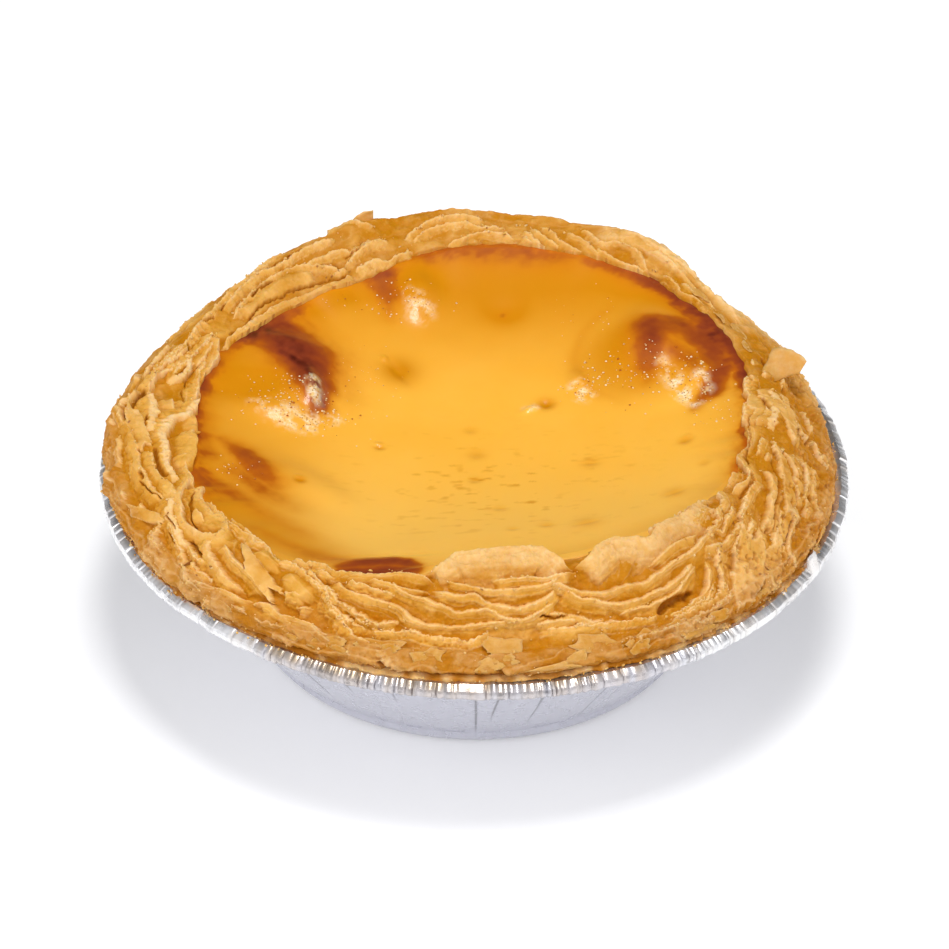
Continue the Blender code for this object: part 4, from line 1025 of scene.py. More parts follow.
# narrow gaps between the leaves, sunk and painted with shade: half-width in mm, darkness of the painted shade, then
# (azimuth, v) points
CREVICES = (
    (0.09, 0.50, ((263.0, 0.915), (264.2, 0.940), (265.4, 0.965))),
    (0.10, 0.60, ((284.4, 0.965), (285.3, 0.930), (286.4, 0.880))),
    (0.32, 0.75, ((183.0, 0.562), (180.8, 0.571), (179.0, 0.588), (177.0, 0.613), (175.5, 0.625))),
    (0.22, 0.35, ((180.0, 0.479), (182.0, 0.492), (184.8, 0.525))),
    (0.12, 0.80, ((183.8, 0.683), (186.5, 0.671), (189.0, 0.662), (191.8, 0.658))),
    (0.24, 0.90, ((193.5, 0.721), (196.2, 0.713), (198.8, 0.713), (201.5, 0.717), (202.2, 0.758))),
    (0.22, 0.30, ((198.5, 0.542), (201.0, 0.550))),
    (0.17, 0.45, ((207.0, 0.912), (209.2, 0.833), (212.2, 0.746), (214.2, 0.696), (216.0, 0.658))),
    (0.20, 0.55, ((171.2, 0.800), (169.0, 0.817), (167.0, 0.833))),
    (0.07, 0.55, ((164.8, 0.917), (167.2, 0.900), (170.0, 0.883), (172.5, 0.879), (175.2, 0.883), (178.8, 0.879), (181.0, 0.875))),
    (0.24, 0.35, ((217.2, 0.500), (219.2, 0.504), (221.5, 0.471))),
    (0.10, 0.50, ((210.5, 0.537), (212.5, 0.517), (214.0, 0.508))),
    (0.09, 0.50, ((213.0, 0.442), (215.5, 0.404))),
    (0.16, 0.75, ((160.2, 0.717), (161.8, 0.758))),
    (0.14, 0.60, ((170.5, 0.637), (170.2, 0.679))),
    (0.10, 0.50, ((200.2, 0.504), (203.5, 0.546), (206.5, 0.592))),
    (0.13, 0.65, ((153.0, 0.921), (149.0, 0.946), (145.2, 0.912), (140.5, 0.879), (136.5, 0.892), (132.0, 0.887), (128.5, 0.912), (124.0, 0.921), (120.2, 0.942), (118.5, 0.921))),
    (0.09, 0.50, ((135.8, 0.592), (132.5, 0.637), (130.0, 0.633), (127.0, 0.621), (123.5, 0.621))),
    (0.16, 0.80, ((141.2, 0.762), (138.5, 0.738), (135.2, 0.750))),
    (0.14, 0.80, ((148.5, 0.708), (146.2, 0.700))),
    (0.14, 0.70, ((153.0, 0.675), (150.5, 0.713))),
    (0.09, 0.40, ((118.2, 0.825), (115.2, 0.792), (112.8, 0.762))),
    (0.12, 0.40, ((124.5, 0.779), (120.8, 0.838), (119.2, 0.912))),
    (0.22, 0.85, ((20.0, 0.783), (16.8, 0.779))),
    (0.36, 0.42, ((11.8, 0.629), (6.5, 0.604), (1.5, 0.604), (357.5, 0.554), (354.8, 0.487))),
    (0.22, 0.50, ((359.0, 0.392), (356.0, 0.425))),
    (0.22, 0.50, ((345.5, 0.725), (346.8, 0.692))),
    (0.14, 0.90, ((339.5, 0.592), (337.8, 0.571))),
    (0.17, 0.25, ((343.0, 0.721), (340.5, 0.633), (337.5, 0.583), (335.0, 0.542), (332.0, 0.496), (329.2, 0.425))),
    (0.11, 0.50, ((347.8, 0.583), (347.0, 0.521), (345.2, 0.471), (344.2, 0.388), (342.2, 0.354))),
    (0.10, 0.50, ((348.5, 0.508), (347.5, 0.450), (345.8, 0.396))),
    (0.17, 0.30, ((339.8, 0.438), (338.0, 0.396), (335.2, 0.358), (332.2, 0.329), (329.5, 0.279))),
    (0.13, 0.35, ((356.8, 0.921), (352.2, 0.933), (347.5, 0.933), (342.2, 0.917), (339.0, 0.883))),
    (0.20, 0.25, ((336.2, 0.817), (334.2, 0.762), (331.0, 0.767), (328.8, 0.767))),
    (0.18, 0.40, ((2.8, 0.862), (357.8, 0.804))),
    (0.10, 0.90, ((355.2, 0.217), (355.5, 0.188))),
    (0.10, 0.90, ((353.0, 0.204), (353.0, 0.183))),
    (0.10, 0.90, ((349.5, 0.196), (348.8, 0.163))),
    (0.20, 0.90, ((335.2, 0.037), (335.8, 0.067))),
    (0.09, 0.80, ((337.5, 0.300), (337.0, 0.279))),
    (0.09, 0.80, ((336.8, 0.225), (336.8, 0.183))),
    (0.44, 0.80, ((302.0, 0.317), (303.5, 0.350), (305.5, 0.354), (307.2, 0.346), (308.5, 0.350))),
    (0.13, 0.50, ((281.5, 0.454), (283.2, 0.438), (284.8, 0.438), (286.8, 0.446))),
    (0.26, 0.55, ((274.0, 0.075), (276.0, 0.013), (278.2, 0.042))),
    (0.30, 0.60, ((256.2, 0.096), (257.0, 0.058), (258.0, 0.000))),
)
# kind: half-width inwards and outwards, height, fall inwards and outwards (mm per mm), raggedness, paleness
KINDS = {
    "F": (0.02, 0.01, 0.27, 5.0, 0.36, 0.05, 0.75), "C": (0.03, 0.02, 0.24, 4.0, 0.46, 0.17, 0.85),
    "R": (0.06, 0.60, 0.26, 3.4, 0.34, 0.13, 0.80), "P": (0.08, 1.10, 0.26, 3.2, 0.30, 0.10, 0.74),
    "N": (0.02, 0.02, 0.10, 3.0, 0.70, 0.05, 0.28), "D": (0.5, 0.5, 0.40, 0.55, 0.55, 0.0, 0.15),
    "S": (0.20, 0.15, 0.08, 1.5, 0.60, 0.15, 0.40), "A": (0.04, 0.03, 0.60, 8.0, 0.40, 0.03, 0.55),
    "B": (0.04, 0.03, 0.60, 8.0, 0.40, 0.03, 0.55),
}
MM_PER_DEG = 34.0 * math.pi / 180


def curve(points):
    """Evenly resampled smooth curve through (azimuth, v) points, in mm along and across the rim."""
    p = np.array(points, float)
    p[:, 0] = np.degrees(np.unwrap(np.radians(p[:, 0])))
    flat = np.stack([p[:, 0] * MM_PER_DEG, (1 - p[:, 1]) * SURFACE.length], -1)
    length = np.linalg.norm(np.diff(flat, axis=0), axis=1).sum()
    q, _ = spline(flat, max(4, int(length / 0.55)))
    return q


def spare_edges():
    """Further leaf edges where the named ones leave room, denser at the back and sides."""
    rng = np.random.default_rng(77)
    taken = np.vstack([curve(points) for kind, points in EDGES if kind not in "NSD"])
    wide = 360 * MM_PER_DEG
    out = []
    for k in range(2600):
        az = rng.uniform(0, 360)
        back = 20 < az < 160
        v = rng.uniform(0.05 if back else 0.22, 0.97)
        if not back and v < 0.36 + 0.05 * math.sin(math.radians(az * 5)):
            continue
        if (248 < az < 325 and v > 0.52) or (24 < az < 66 and v < 0.62):
            continue
        length = rng.uniform(3.0, 12.0) if back else rng.uniform(1.5, 6.0)
        n = max(3, int(length / 1.2))
        t = np.linspace(-0.5, 0.5, n) * length
        slope = rng.uniform(-0.16, 0.16)
        wob = np.cumsum(rng.normal(0, 0.16, n))
        x, y = az * MM_PER_DEG + t, (1 - v) * SURFACE.length + slope * t + wob - wob.mean()
        room = rng.uniform(0.9, 1.9) if back else rng.uniform(0.8, 1.3)
        dx = (x[:, None] - taken[None, :, 0] + wide / 2) % wide - wide / 2
        if (np.hypot(dx, (y[:, None] - taken[None, :, 1])).min(1) < room).mean() > 0.15:
            continue
        vv = 1 - y / SURFACE.length
        if vv.max() > 0.985 or vv.min() < 0.04:
            continue
        kind = rng.choice(["C", "N", "N", "N"] if back else ["C", "N", "C", "F"])
        out.append((kind, [(xx / MM_PER_DEG, q) for xx, q in zip(x, vv)]))
        taken = np.vstack([taken, np.stack([x, y], -1)])
    return out


def relief(az, v):
    """Height of the leaves over the outline in mm, with paleness, distance and place along the topmost edge.
    az: columns in degrees, increasing; v: rows."""
    aa, vv = np.meshgrid(az, v)
    p = SURFACE.point(aa.ravel(), vv.ravel(), np.zeros(aa.size))
    shape = aa.shape
    fine = [fractal(p / 0.44, 2, s, 0.75).reshape(shape) for s in (301, 302)]
    mid = [fractal(p / 1.5, 2, s).reshape(shape) for s in (303, 304)]
    broad = fractal(p / 3.2, 3, 5).reshape(shape)
    ri, ro = foot_to_rim(az)
    er = SURFACE.sample(SURFACE.r, aa, vv)
    share = (er - ri) / (ro - ri)
    open_here = np.maximum(openness(aa, share), 0)
    x = aa * MM_PER_DEG + 0.22 * mid[0]
    y = (1 - vv) * SURFACE.length + 0.16 * mid[1]
    wide = 360 * MM_PER_DEG
    height = (-0.10 - 0.62 * open_here * (1 - 0.45 * arc(aa, 90, 60, 20) - 0.28 * arc(aa, 345, 40, 14) - 0.15 * arc(aa, 195, 40, 14)) + 0.25 * mid[0] * open_here
              - 1.6 * ramp(vv, 0.965, 1.0) - 0.45 * arc(aa, 251, 6, 4) * ramp(vv, 0.62, 0.90) + 0.40 * arc(aa, 30, 20, 8) * ramp(vv, 0.75, 0.93)
              + 0.55 * arc(aa, 185, 1.5, 2.5) * ramp(vv, 0.82, 0.95))
    pale = np.zeros(shape)
    dist, along = np.full(shape, 9.0), np.zeros(shape)
    ledge = np.zeros(shape)
    rng = np.random.default_rng(5)
    wander = ring_noise(46, 33)
    rim = [("C", [(a, 0.955 + 0.022 * float(wander(np.array([a % 360]))[0])) for a in np.arange(a0, a0 + 22, 2.0)])
           for a0 in range(-6, 330, 24) if not (255 < a0 < 300 or 15 < a0 < 125)]
    for kind, points in list(EDGES) + rim + spare_edges():
        w_in, w_out, top, fall_in, fall_out, ragged, tone = KINDS[kind]
        q = curve(points)
        azimuth = q[:, 0] / MM_PER_DEG
        middle = azimuth[len(azimuth) // 2] % 360
        turned = 20 < middle < 160
        if turned:
            w_in, w_out, fall_in, fall_out = w_out, w_in, fall_out, fall_in
        grow = rng.uniform(0.75, 1.25)
        back = float(arc(middle, 90, 55, 20))
        top = top * rng.uniform(0.8, 1.2) * (1 - 0.60 * back)
        ragged, tone = ragged * (1 - 0.35 * back), tone * (1 - 0.30 * back)
        w_in, w_out = w_in * grow, w_out * grow
        reach = 4.5
        lo, hi = q[:, 0].min() - reach, q[:, 0].max() + reach
        inside = ((az * MM_PER_DEG - lo) % wide) < (hi - lo)
        cols = np.nonzero(inside)[0]
        if not len(cols):
            continue
        px = x[:, cols] + 0
        px = (px - lo) % wide + lo
        px = np.where(px > hi + reach, px - wide, px)
        py = y[:, cols]
        px = px + ragged * fine[0][:, cols]
        py = py + ragged * fine[1][:, cols]
        step = np.diff(q, axis=0)
        seg = np.linalg.norm(step, axis=1) + 1e-9
        start = np.concatenate([[0], np.cumsum(seg)])
        flip = np.sign((step[:, 0]).sum() + 1e-9)
        best = np.full(px.shape, 1e9)
        d, s, over = np.zeros(px.shape), np.zeros(px.shape), np.zeros(px.shape)
        for i in range(len(step)):
            dx, dy = px - q[i, 0], py - q[i, 1]
            ex, ey = step[i] / seg[i]
            t = dx * ex + dy * ey
            tc = np.clip(t, 0, seg[i])
            gx, gy = dx - tc * ex, dy - tc * ey
            d2 = gx * gx + gy * gy
            near = d2 < best
            best = np.where(near, d2, best)
            side = ex * dy - ey * dx
            d = np.where(near, np.sign(side) * np.sqrt(d2) * flip, d)
            s = np.where(near, start[i] + tc, s)
            past = np.abs(t - tc) if i in (0, len(step) - 1) else 0.0
            over = np.where(near, past, over)
        total = start[-1]
        ends = smooth(np.minimum(s, total - s) / min(1.6, total * 0.4))
        h0 = top + 0.07 * fine[0][:, cols] * (0.4 + 4 * ragged) - 0.9 * (1 - ends) - 1.6 * over
        if kind == "A":
            h0 = h0 + 0.42 - 0.95 * (2 * s / total - 1) ** 2
        spread = w_in + w_out
        flat = np.clip((d + w_in) / spread, 0, 1)
        away = 1 - flat if turned else flat
        h = h0 - 0.15 * min(spread, 1.4) * away ** 1.4 * (spread > 0.6)
        h = h - fall_out * np.maximum(d - w_out, 0) ** 0.92 - fall_in * np.maximum(-w_in - d, 0)
        rim_out, rim_in = np.maximum(d - w_out, 0), np.maximum(-w_in - d, 0)
        e = tone * np.exp(-((rim_out / 0.10) ** 2) - (rim_in / 0.16) ** 2) * (0.35 + 0.65 * ends)
        if spread > 0.6:
            e = e * (0.20 + 0.80 * (1 - away) ** 9)
        elif kind in "FCAB":
            # thinner leaves baked onto the face of this one
            face = rim_in if turned else rim_out
            e = np.maximum(e, 0.22 * tone * np.exp(-face / 0.40) * (face > 0))
            if kind in "AB":
                e = np.maximum(e, (0.56 - 0.34 * ramp(face, 1.2, 3.0)) * ends)
                fold = noise3(np.stack([s.ravel() / 1.3, face.ravel() / 0.42, 0 * s.ravel() + 4.0], -1), 330).reshape(s.shape)
                h = h + (0.10 * fold + 0.05 * fine[1][:, cols]) * ramp(face, 0.05, 0.4)
            for j, gap in enumerate((0.36, 0.74, 1.20)):
                seed = float(rng.uniform(0, 90))
                line = gap * rng.uniform(0.8, 1.25) + 0.12 * noise3(np.stack([s.ravel() / 2.2, 0 * s.ravel() + seed, 0 * s.ravel()], -1), 320).reshape(s.shape)
                line = line + ragged * fine[1][:, cols]
                strong = np.clip(0.45 + 1.1 * noise3(np.stack([s.ravel() / 3.0, 0 * s.ravel() + seed, 0 * s.ravel() + 9.0], -1), 321).reshape(s.shape), 0, 1)
                strong = strong * (1.0, 0.8, 0.7)[j] * ends
                h = h - 0.10 * strong * ramp(face, line - 0.03, line + 0.06)
                e = np.maximum(e, 0.60 * tone * strong * np.exp(-(((face - line + 0.02) / 0.07) ** 2)))
        if kind == "N":
            lift = np.where(d < 0, np.exp(d / 0.8), 0) * 0.11 * ends * (over < 0.01) * (np.abs(d) < 3)
            ledge[:, cols] += lift
            pale[:, cols] = np.maximum(pale[:, cols], tone * np.exp(-((d / 0.11) ** 2)) * ends * (over < 0.01))
            continue
        block = height[:, cols]
        win = h > block
        height[:, cols] = np.where(win, h, block)
        pale[:, cols] = np.where(win, e, pale[:, cols])
        dist[:, cols] = np.where(win, np.abs(d), dist[:, cols])
        along[:, cols] = np.where(win, s + 37.0 * rng.random(), along[:, cols])
    painted_gap_shade, gap_deep = np.zeros(shape), np.zeros(shape)
    for half, dark, points in CREVICES:
        q = curve(points)
        lo, hi = q[:, 0].min() - 2.0, q[:, 0].max() + 2.0
        cols = np.nonzero(((az * MM_PER_DEG - lo) % wide) < (hi - lo))[0]
        px, py = (x[:, cols] - lo) % wide + lo, y[:, cols]
        px, py = px + 0.10 * fine[0][:, cols], py + 0.10 * fine[1][:, cols]
        q, _ = spline(q, max(8, int(np.linalg.norm(np.diff(q, axis=0), axis=1).sum() / 0.10)))
        t = np.linspace(-1, 1, len(q))
        width = half * (0.30 + 0.70 * np.sqrt(np.clip(1 - t * t, 0, 1)))
        near = np.min(np.stack([np.hypot(px - a, py - b) / w for (a, b), w in zip(q, width)]), 0)
        mark = np.exp(-(np.minimum(near, 4) ** 3))
        gap_deep[:, cols] = np.maximum(gap_deep[:, cols], mark * (0.5 + 1.6 * half))
        painted_gap_shade[:, cols] = np.maximum(painted_gap_shade[:, cols], mark * dark)
    height = height - 0.75 * gap_deep
    # painted shade: the crevices lose their paleness
    pale = pale * (1 - np.clip(1.5 * painted_gap_shade, 0, 1))
    streak = noise3(np.stack([along.ravel() / 3.5, dist.ravel() / 0.24, along.ravel() * 0], -1), 310).reshape(shape)
    streak = streak * ramp(dist, 0.15, 0.6) * (dist < 5)
    grain = fractal(p / 0.27, 1, 306).reshape(shape) * np.clip(0.35 + 0.9 * mid[1], 0, 1)
    height = height + ledge + 0.035 * grain + 0.05 * streak + 0.06 * mid[1] + 0.03 * fine[0] + 0.10 * broad
    return height, pale, streak, open_here, share, p, er, dist, painted_gap_shade


# broad flat leaves lying over the others: azimuth and v of both ends, half-width, rise and tilt in mm, seed
PLATES = (
    (326.8, 0.56, 314.8, 0.09, 1.75, 0.30, 0.16, 11), (328.5, 0.37, 321.5, 0.12, 1.05, 0.20, 0.12, 25),
    (347.5, 0.72, 333.5, 0.34, 0.95, 0.28, -0.12, 37), (4.0, 0.82, 356.5, 0.62, 1.15, 0.26, 0.14, 52),
    (180.5, 0.56, 195.5, 0.68, 0.85, 0.16, 0.16, 64), (226.5, 0.80, 237.5, 0.46, 1.10, 0.05, -0.20, 71),
    (61.0, 0.66, 46.0, 0.62, 1.55, 0.12, 0.10, 83), (203.0, 0.30, 211.0, 0.50, 0.80, 0.10, 0.14, 95),
)


def add_plates(az, v, p, height, pale, dist, painted_gap_shade):
    """Broad leaves with a pale ragged outline; they hide what is under them."""
    aa, vv = np.meshgrid(az, v)
    fine = fractal(p / 0.5, 2, 401).reshape(aa.shape)
    slow = fractal(p / 1.7, 2, 402).reshape(aa.shape)
    for az1, v1, az2, v2, half, rise, tilt, seed in PLATES:
        sx, sy = turn(az2, az1) * MM_PER_DEG, (v2 - v1) * SURFACE.length
        long = math.hypot(sx, sy)
        ex, ey = sx / long, sy / long
        x = turn(aa, az1 + turn(az2, az1) / 2) * MM_PER_DEG + 0.20 * slow + 0.13 * fine
        y = (vv - (v1 + v2) / 2) * SURFACE.length + 0.13 * fine
        u, w = (x * ex + y * ey) / (long / 2), (y * ex - x * ey) / half
        size = (np.abs(u) ** 3 + np.abs(w) ** 3) ** (1 / 3) + 1e-6
        ratio = size / corner_radius(np.degrees(np.arctan2(w, u)), 9, seed)
        inside = ramp(ratio, 1.0, 0.94)
        line = inside * ramp(ratio, 0.80, 0.97)
        height = height * (1 - inside) + inside * (rise + tilt * w + 0.16 * slow + 0.05 * fine)
        pale = pale * (1 - inside) + inside * (0.20 + 0.16 * slow) + 0.40 * line
        dist = dist * (1 - inside) + inside * 0.45
        painted_gap_shade = painted_gap_shade * (1 - inside)
    return height, np.clip(pale, 0, 1), dist, painted_gap_shade


def box_blur(field, rows, cols):
    """Mean over a window; columns wrap round."""
    n = field.shape[0]
    c = np.cumsum(np.pad(field, ((rows + 1, rows), (0, 0)), mode="edge"), 0)
    field = (c[2 * rows + 1:] - c[:-2 * rows - 1])[:n] / (2 * rows + 1)
    w = 2 * cols + 1
    c = np.cumsum(np.pad(field, ((0, 0), (cols + 1, cols)), mode="wrap"), 1)
    return (c[:, w:] - c[:, :-w]) / w


def shell_columns(total):
    """Azimuths of the columns, closer together where the side faces show most."""
    fine = np.arange(3600) / 10.0
    weight = 0.60 + 0.40 * arc(fine, 270, 112, 10)
    grow = np.concatenate([[0], np.cumsum(weight)])
    return np.interp((np.arange(total) + 0.5) / total * grow[-1], grow, np.arange(3601) / 10.0)


LEAF_TOPS = {}


def leaf_height(az, v):
    """Height in mm of the finished leaves at scattered spots."""
    i = np.searchsorted(LEAF_TOPS["az"], np.asarray(az) % 360) % len(LEAF_TOPS["az"])
    j = np.clip(np.round(np.asarray(v) * (len(LEAF_TOPS["v"]) - 1)).astype(int), 0, len(LEAF_TOPS["v"]) - 1)
    return LEAF_TOPS["height"][j, i], LEAF_TOPS["dark"][j, i]


def build_shell():
    """The whole crust: nested leaves fused into one mass, made as three closed segments."""
    total, rows = 1950, 140
    az = shell_columns(total)
    v = np.linspace(0.0, 1.0, rows)
    height, pale, streak, open_here, share, p, er, dist, painted_gap_shade = relief(az, v)
    shape = height.shape
    height, pale, dist, painted_gap_shade = add_plates(az, v, p, height, pale, dist, painted_gap_shade)
    skin = 1 - open_here
    layer, layer_pale = (q.reshape(shape) for q in strata(p, np.repeat(v * SURFACE.length, total), np.tile(az, rows)))
    scale, scale_pale = (q.reshape(shape) for q in patches(p))
    bubble = skin_bubbles(p).reshape(shape)
    height = height * (1 - 0.20 * arc(az, 346, 30, 16)[None] * ramp(share, 0.12, 0.30)) + skin * (0.7 * layer + scale + bubble)
    porous = (arc(az, 350, 26, 22)[None] * (0.45 * ramp(share, 0.22, 0.45) + 0.55 * ramp(share, 0.50, 0.70)) + 0.35 * skin * (1 - arc(az, 90, 70, 15))[None]).clip(0, 1)
    crumb = fractal(p / 0.85, 2, 307).reshape(shape)
    pores = ramp(fractal(p / 0.50, 2, 308).reshape(shape), 0.22, 0.55) * porous
    height = height + porous * (0.12 * crumb + 0.07 * fractal(p / 0.40, 1, 309).reshape(shape)) - 0.22 * pores
    # painted shade: spots lower than their blurred surroundings, and the lowest spots, get darker amber in the colour
    # below
    soft = box_blur(box_blur(height, 6, 7), 6, 7)
    painted_hollow_shade = np.clip((soft - height) / 0.24, 0, 1)
    ridge = np.clip((height - soft) / 0.30, 0, 1)
    low = np.clip((-0.20 - height) / 0.55, 0, 1)
    height = height - 0.2 * ramp(v, 0.02, 0.0)[:, None]
    nr, nz = SURFACE.sample(SURFACE.nr, *np.meshgrid(az, v)), SURFACE.sample(SURFACE.nz, *np.meshgrid(az, v))
    ez = SURFACE.sample(SURFACE.z, *np.meshgrid(az, v))
    r, z = er + nr * height, ez + nz * height
    r = r + ramp(v, 0.86, 1.0)[:, None] * (0.26 * ring_noise(64, 34)(az) + 0.15 * ring_noise(230, 35)(az))[None]
    r = r + ramp(v, 0.66, 1.0)[:, None] * (0.7 * arc(az, 251, 6, 4) - 0.8 * arc(az, 1, 7, 8) - 0.8 * arc(az, 186, 7, 8) - 0.5 * arc(az, 185.0, 1.5, 3.0))[None]
    patch = np.clip(fractal(p / 2.6, 3, 95).reshape(shape), -1, 1)
    back_skin = skin * arc(az, 84, 48, 30)[None]
    edge = np.clip(pale + 0.12 * ridge * open_here + (0.62 + 0.5 * back_skin) * skin * np.clip(0.6 * layer_pale + scale_pale, 0, 1)
                   + 0.27 * back_skin + 0.10 * porous * ramp(crumb, 0.1, 0.5)
                   + 0.08 * streak + 0.12 * patch, 0, 1) * (1 - np.clip(1.5 * painted_gap_shade, 0, 1))
    # painted light and shade: faces on the left side are made paler and those on the right darker, and faces grow
    # deeper amber away from their edges as painted shade and glow
    left, right = arc(az, 198, 44, 14)[None], arc(az, 345, 38, 14)[None]
    face = (0.16 + 0.50 * ramp(dist, 0.10, 1.5)) * (1 - 0.45 * left) + 0.16 * right
    amber_and_shade = np.clip(open_here * (face + 0.7 * painted_hollow_shade + 0.7 * low) + (0.96 - 0.80 * back_skin) * skin - 0.34 * patch - 0.6 * pale
                   + 1.2 * painted_gap_shade, 0, 1)
    # painted shade: the foot where the crust meets the lip is darker, and the front skin, the right side and the
    # lowest places get more brown
    foot = ramp(v, 0.06, 0.0)[:, None]
    brown_and_shade = np.clip(0.45 * foot + (0.13 + 0.08 * arc(az, 268, 42, 14)[None]) * skin * (1 - back_skin) + 0.17 * pores + 0.06 * right + 0.40 * np.clip((-0.80 - height) / 0.6, 0, 1) * open_here + 0.55 * painted_gap_shade, 0, 1)
    edge, amber_and_shade = edge * (1 - foot), np.clip(amber_and_shade + 0.5 * foot, 0, 1)
    # below: the inner side, the underside in the cup and a narrow crumbly skirt on the lip
    inner = stations(INNER_R, az)
    crumbly = 0.10 * ring_noise(420, 15)(az) + 0.09 * ring_noise(210, 16)(az) + 0.12 * ring_noise(70, 17)(az)
    rough_z = 0.06 * ring_noise(500, 18)(az) + 0.06 * ring_noise(230, 19)(az)
    reach = np.clip(r[0] + 0.50 + 0.16 * ring_noise(36, 23)(az), 38.1, 38.6)
    top = LIP_TOP
    skirt = [(r[0] + 0.10, top + 0.40 + rough_z),
             (r[0] * 0.4 + reach * 0.6 + 0.5 * crumbly, top + 0.26 + 1.8 * rough_z),
             (reach + 0.7 * crumbly, top + 0.10 + 1.4 * np.roll(rough_z, 3)),
             (reach + 0.08 + crumbly, np.full(total, top - 0.10)), (reach - 0.3, np.full(total, top - 0.20))]
    tail = [(inner + 0.5, np.full(total, 22.5)), (inner - 0.6, np.full(total, 14.0)),
            (np.full(total, 30.0), np.full(total, 12.0)), (np.full(total, 32.6), np.full(total, 14.0)),
            (np.full(total, 34.9), np.full(total, 17.4)), (np.full(total, 36.1), np.full(total, 18.9))]
    n_body = len(tail)
    tail += skirt[::-1]
    r = np.vstack([r] + [t[0][None, :] for t in tail])
    z = np.vstack([z] + [t[1][None, :] for t in tail])
    skirt_pale = np.zeros((len(tail), total))
    skirt_pale[n_body:] = np.clip(0.30 + 0.7 * ring_noise(300, 20)(az) + 0.6 * ring_noise(60, 21)(az), 0, 1)[None]
    pad = np.ones((len(tail), total))
    skirt_brown = 0.40 * pad * (1 - skirt_pale)
    attrs = {"edge": np.vstack([edge, 0.8 * skirt_pale]), "amber_and_shade": np.vstack([amber_and_shade, pad]),
             "brown_and_shade": np.vstack([brown_and_shade, skirt_brown])}
    LEAF_TOPS.update(az=az, v=v, height=height, dark=painted_gap_shade)
    n = len(r)
    first = int(np.searchsorted(az, 92.0))
    pieces = []
    for k in range(3):
        a, b = first + k * total // 3, first + (k + 1) * total // 3
        cols = np.arange(a, b + 1) % total
        verts = polar(r[:, cols], az[None, cols], z[:, cols]).reshape(-1, 3)
        m = len(cols)
        quads = grid_quads(n, m, wrap_rows=True, wrap_cols=False)
        i = np.arange(n)
        nxt = (i + 1) % n
        centre = len(verts)
        caps = np.vstack([verts[i * m].mean(0), verts[i * m + m - 1].mean(0)])
        tris = np.vstack([np.stack([i * m, nxt * m, np.full(n, centre)], -1),
                          np.stack([nxt * m + m - 1, i * m + m - 1, np.full(n, centre + 1)], -1)])
        values = {key: np.concatenate([q[:, cols].ravel(), [0, 0]]) for key, q in attrs.items()}
        obj = make_piece(f"pastry_crust_{k + 1}", np.vstack([verts, caps]), quads, PASTRY, values, tris,
                         sharp=80)
        pieces.append(obj)
        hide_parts("pastry_shell")
    return pieces


def corner_radius(th, corners, seed):
    """Radius of a random polygon with straight sides."""
    rng = np.random.default_rng(seed)
    a = (np.arange(corners) + rng.uniform(-0.36, 0.36, corners)) * 360.0 / corners
    b = rng.uniform(0.60, 1.30, corners)
    a, b = np.append(a, a[0] + 360.0), np.append(b, b[0])
    t = (th - a[0]) % 360.0 + a[0]
    k = np.clip(np.searchsorted(a, t, side="right") - 1, 0, corners - 1)
    a0, a1, t = np.radians(a[k]), np.radians(a[k + 1]), np.radians(t)
    return b[k] * b[k + 1] * np.sin(a1 - a0) / (b[k] * np.sin(t - a0) + b[k + 1] * np.sin(a1 - t))


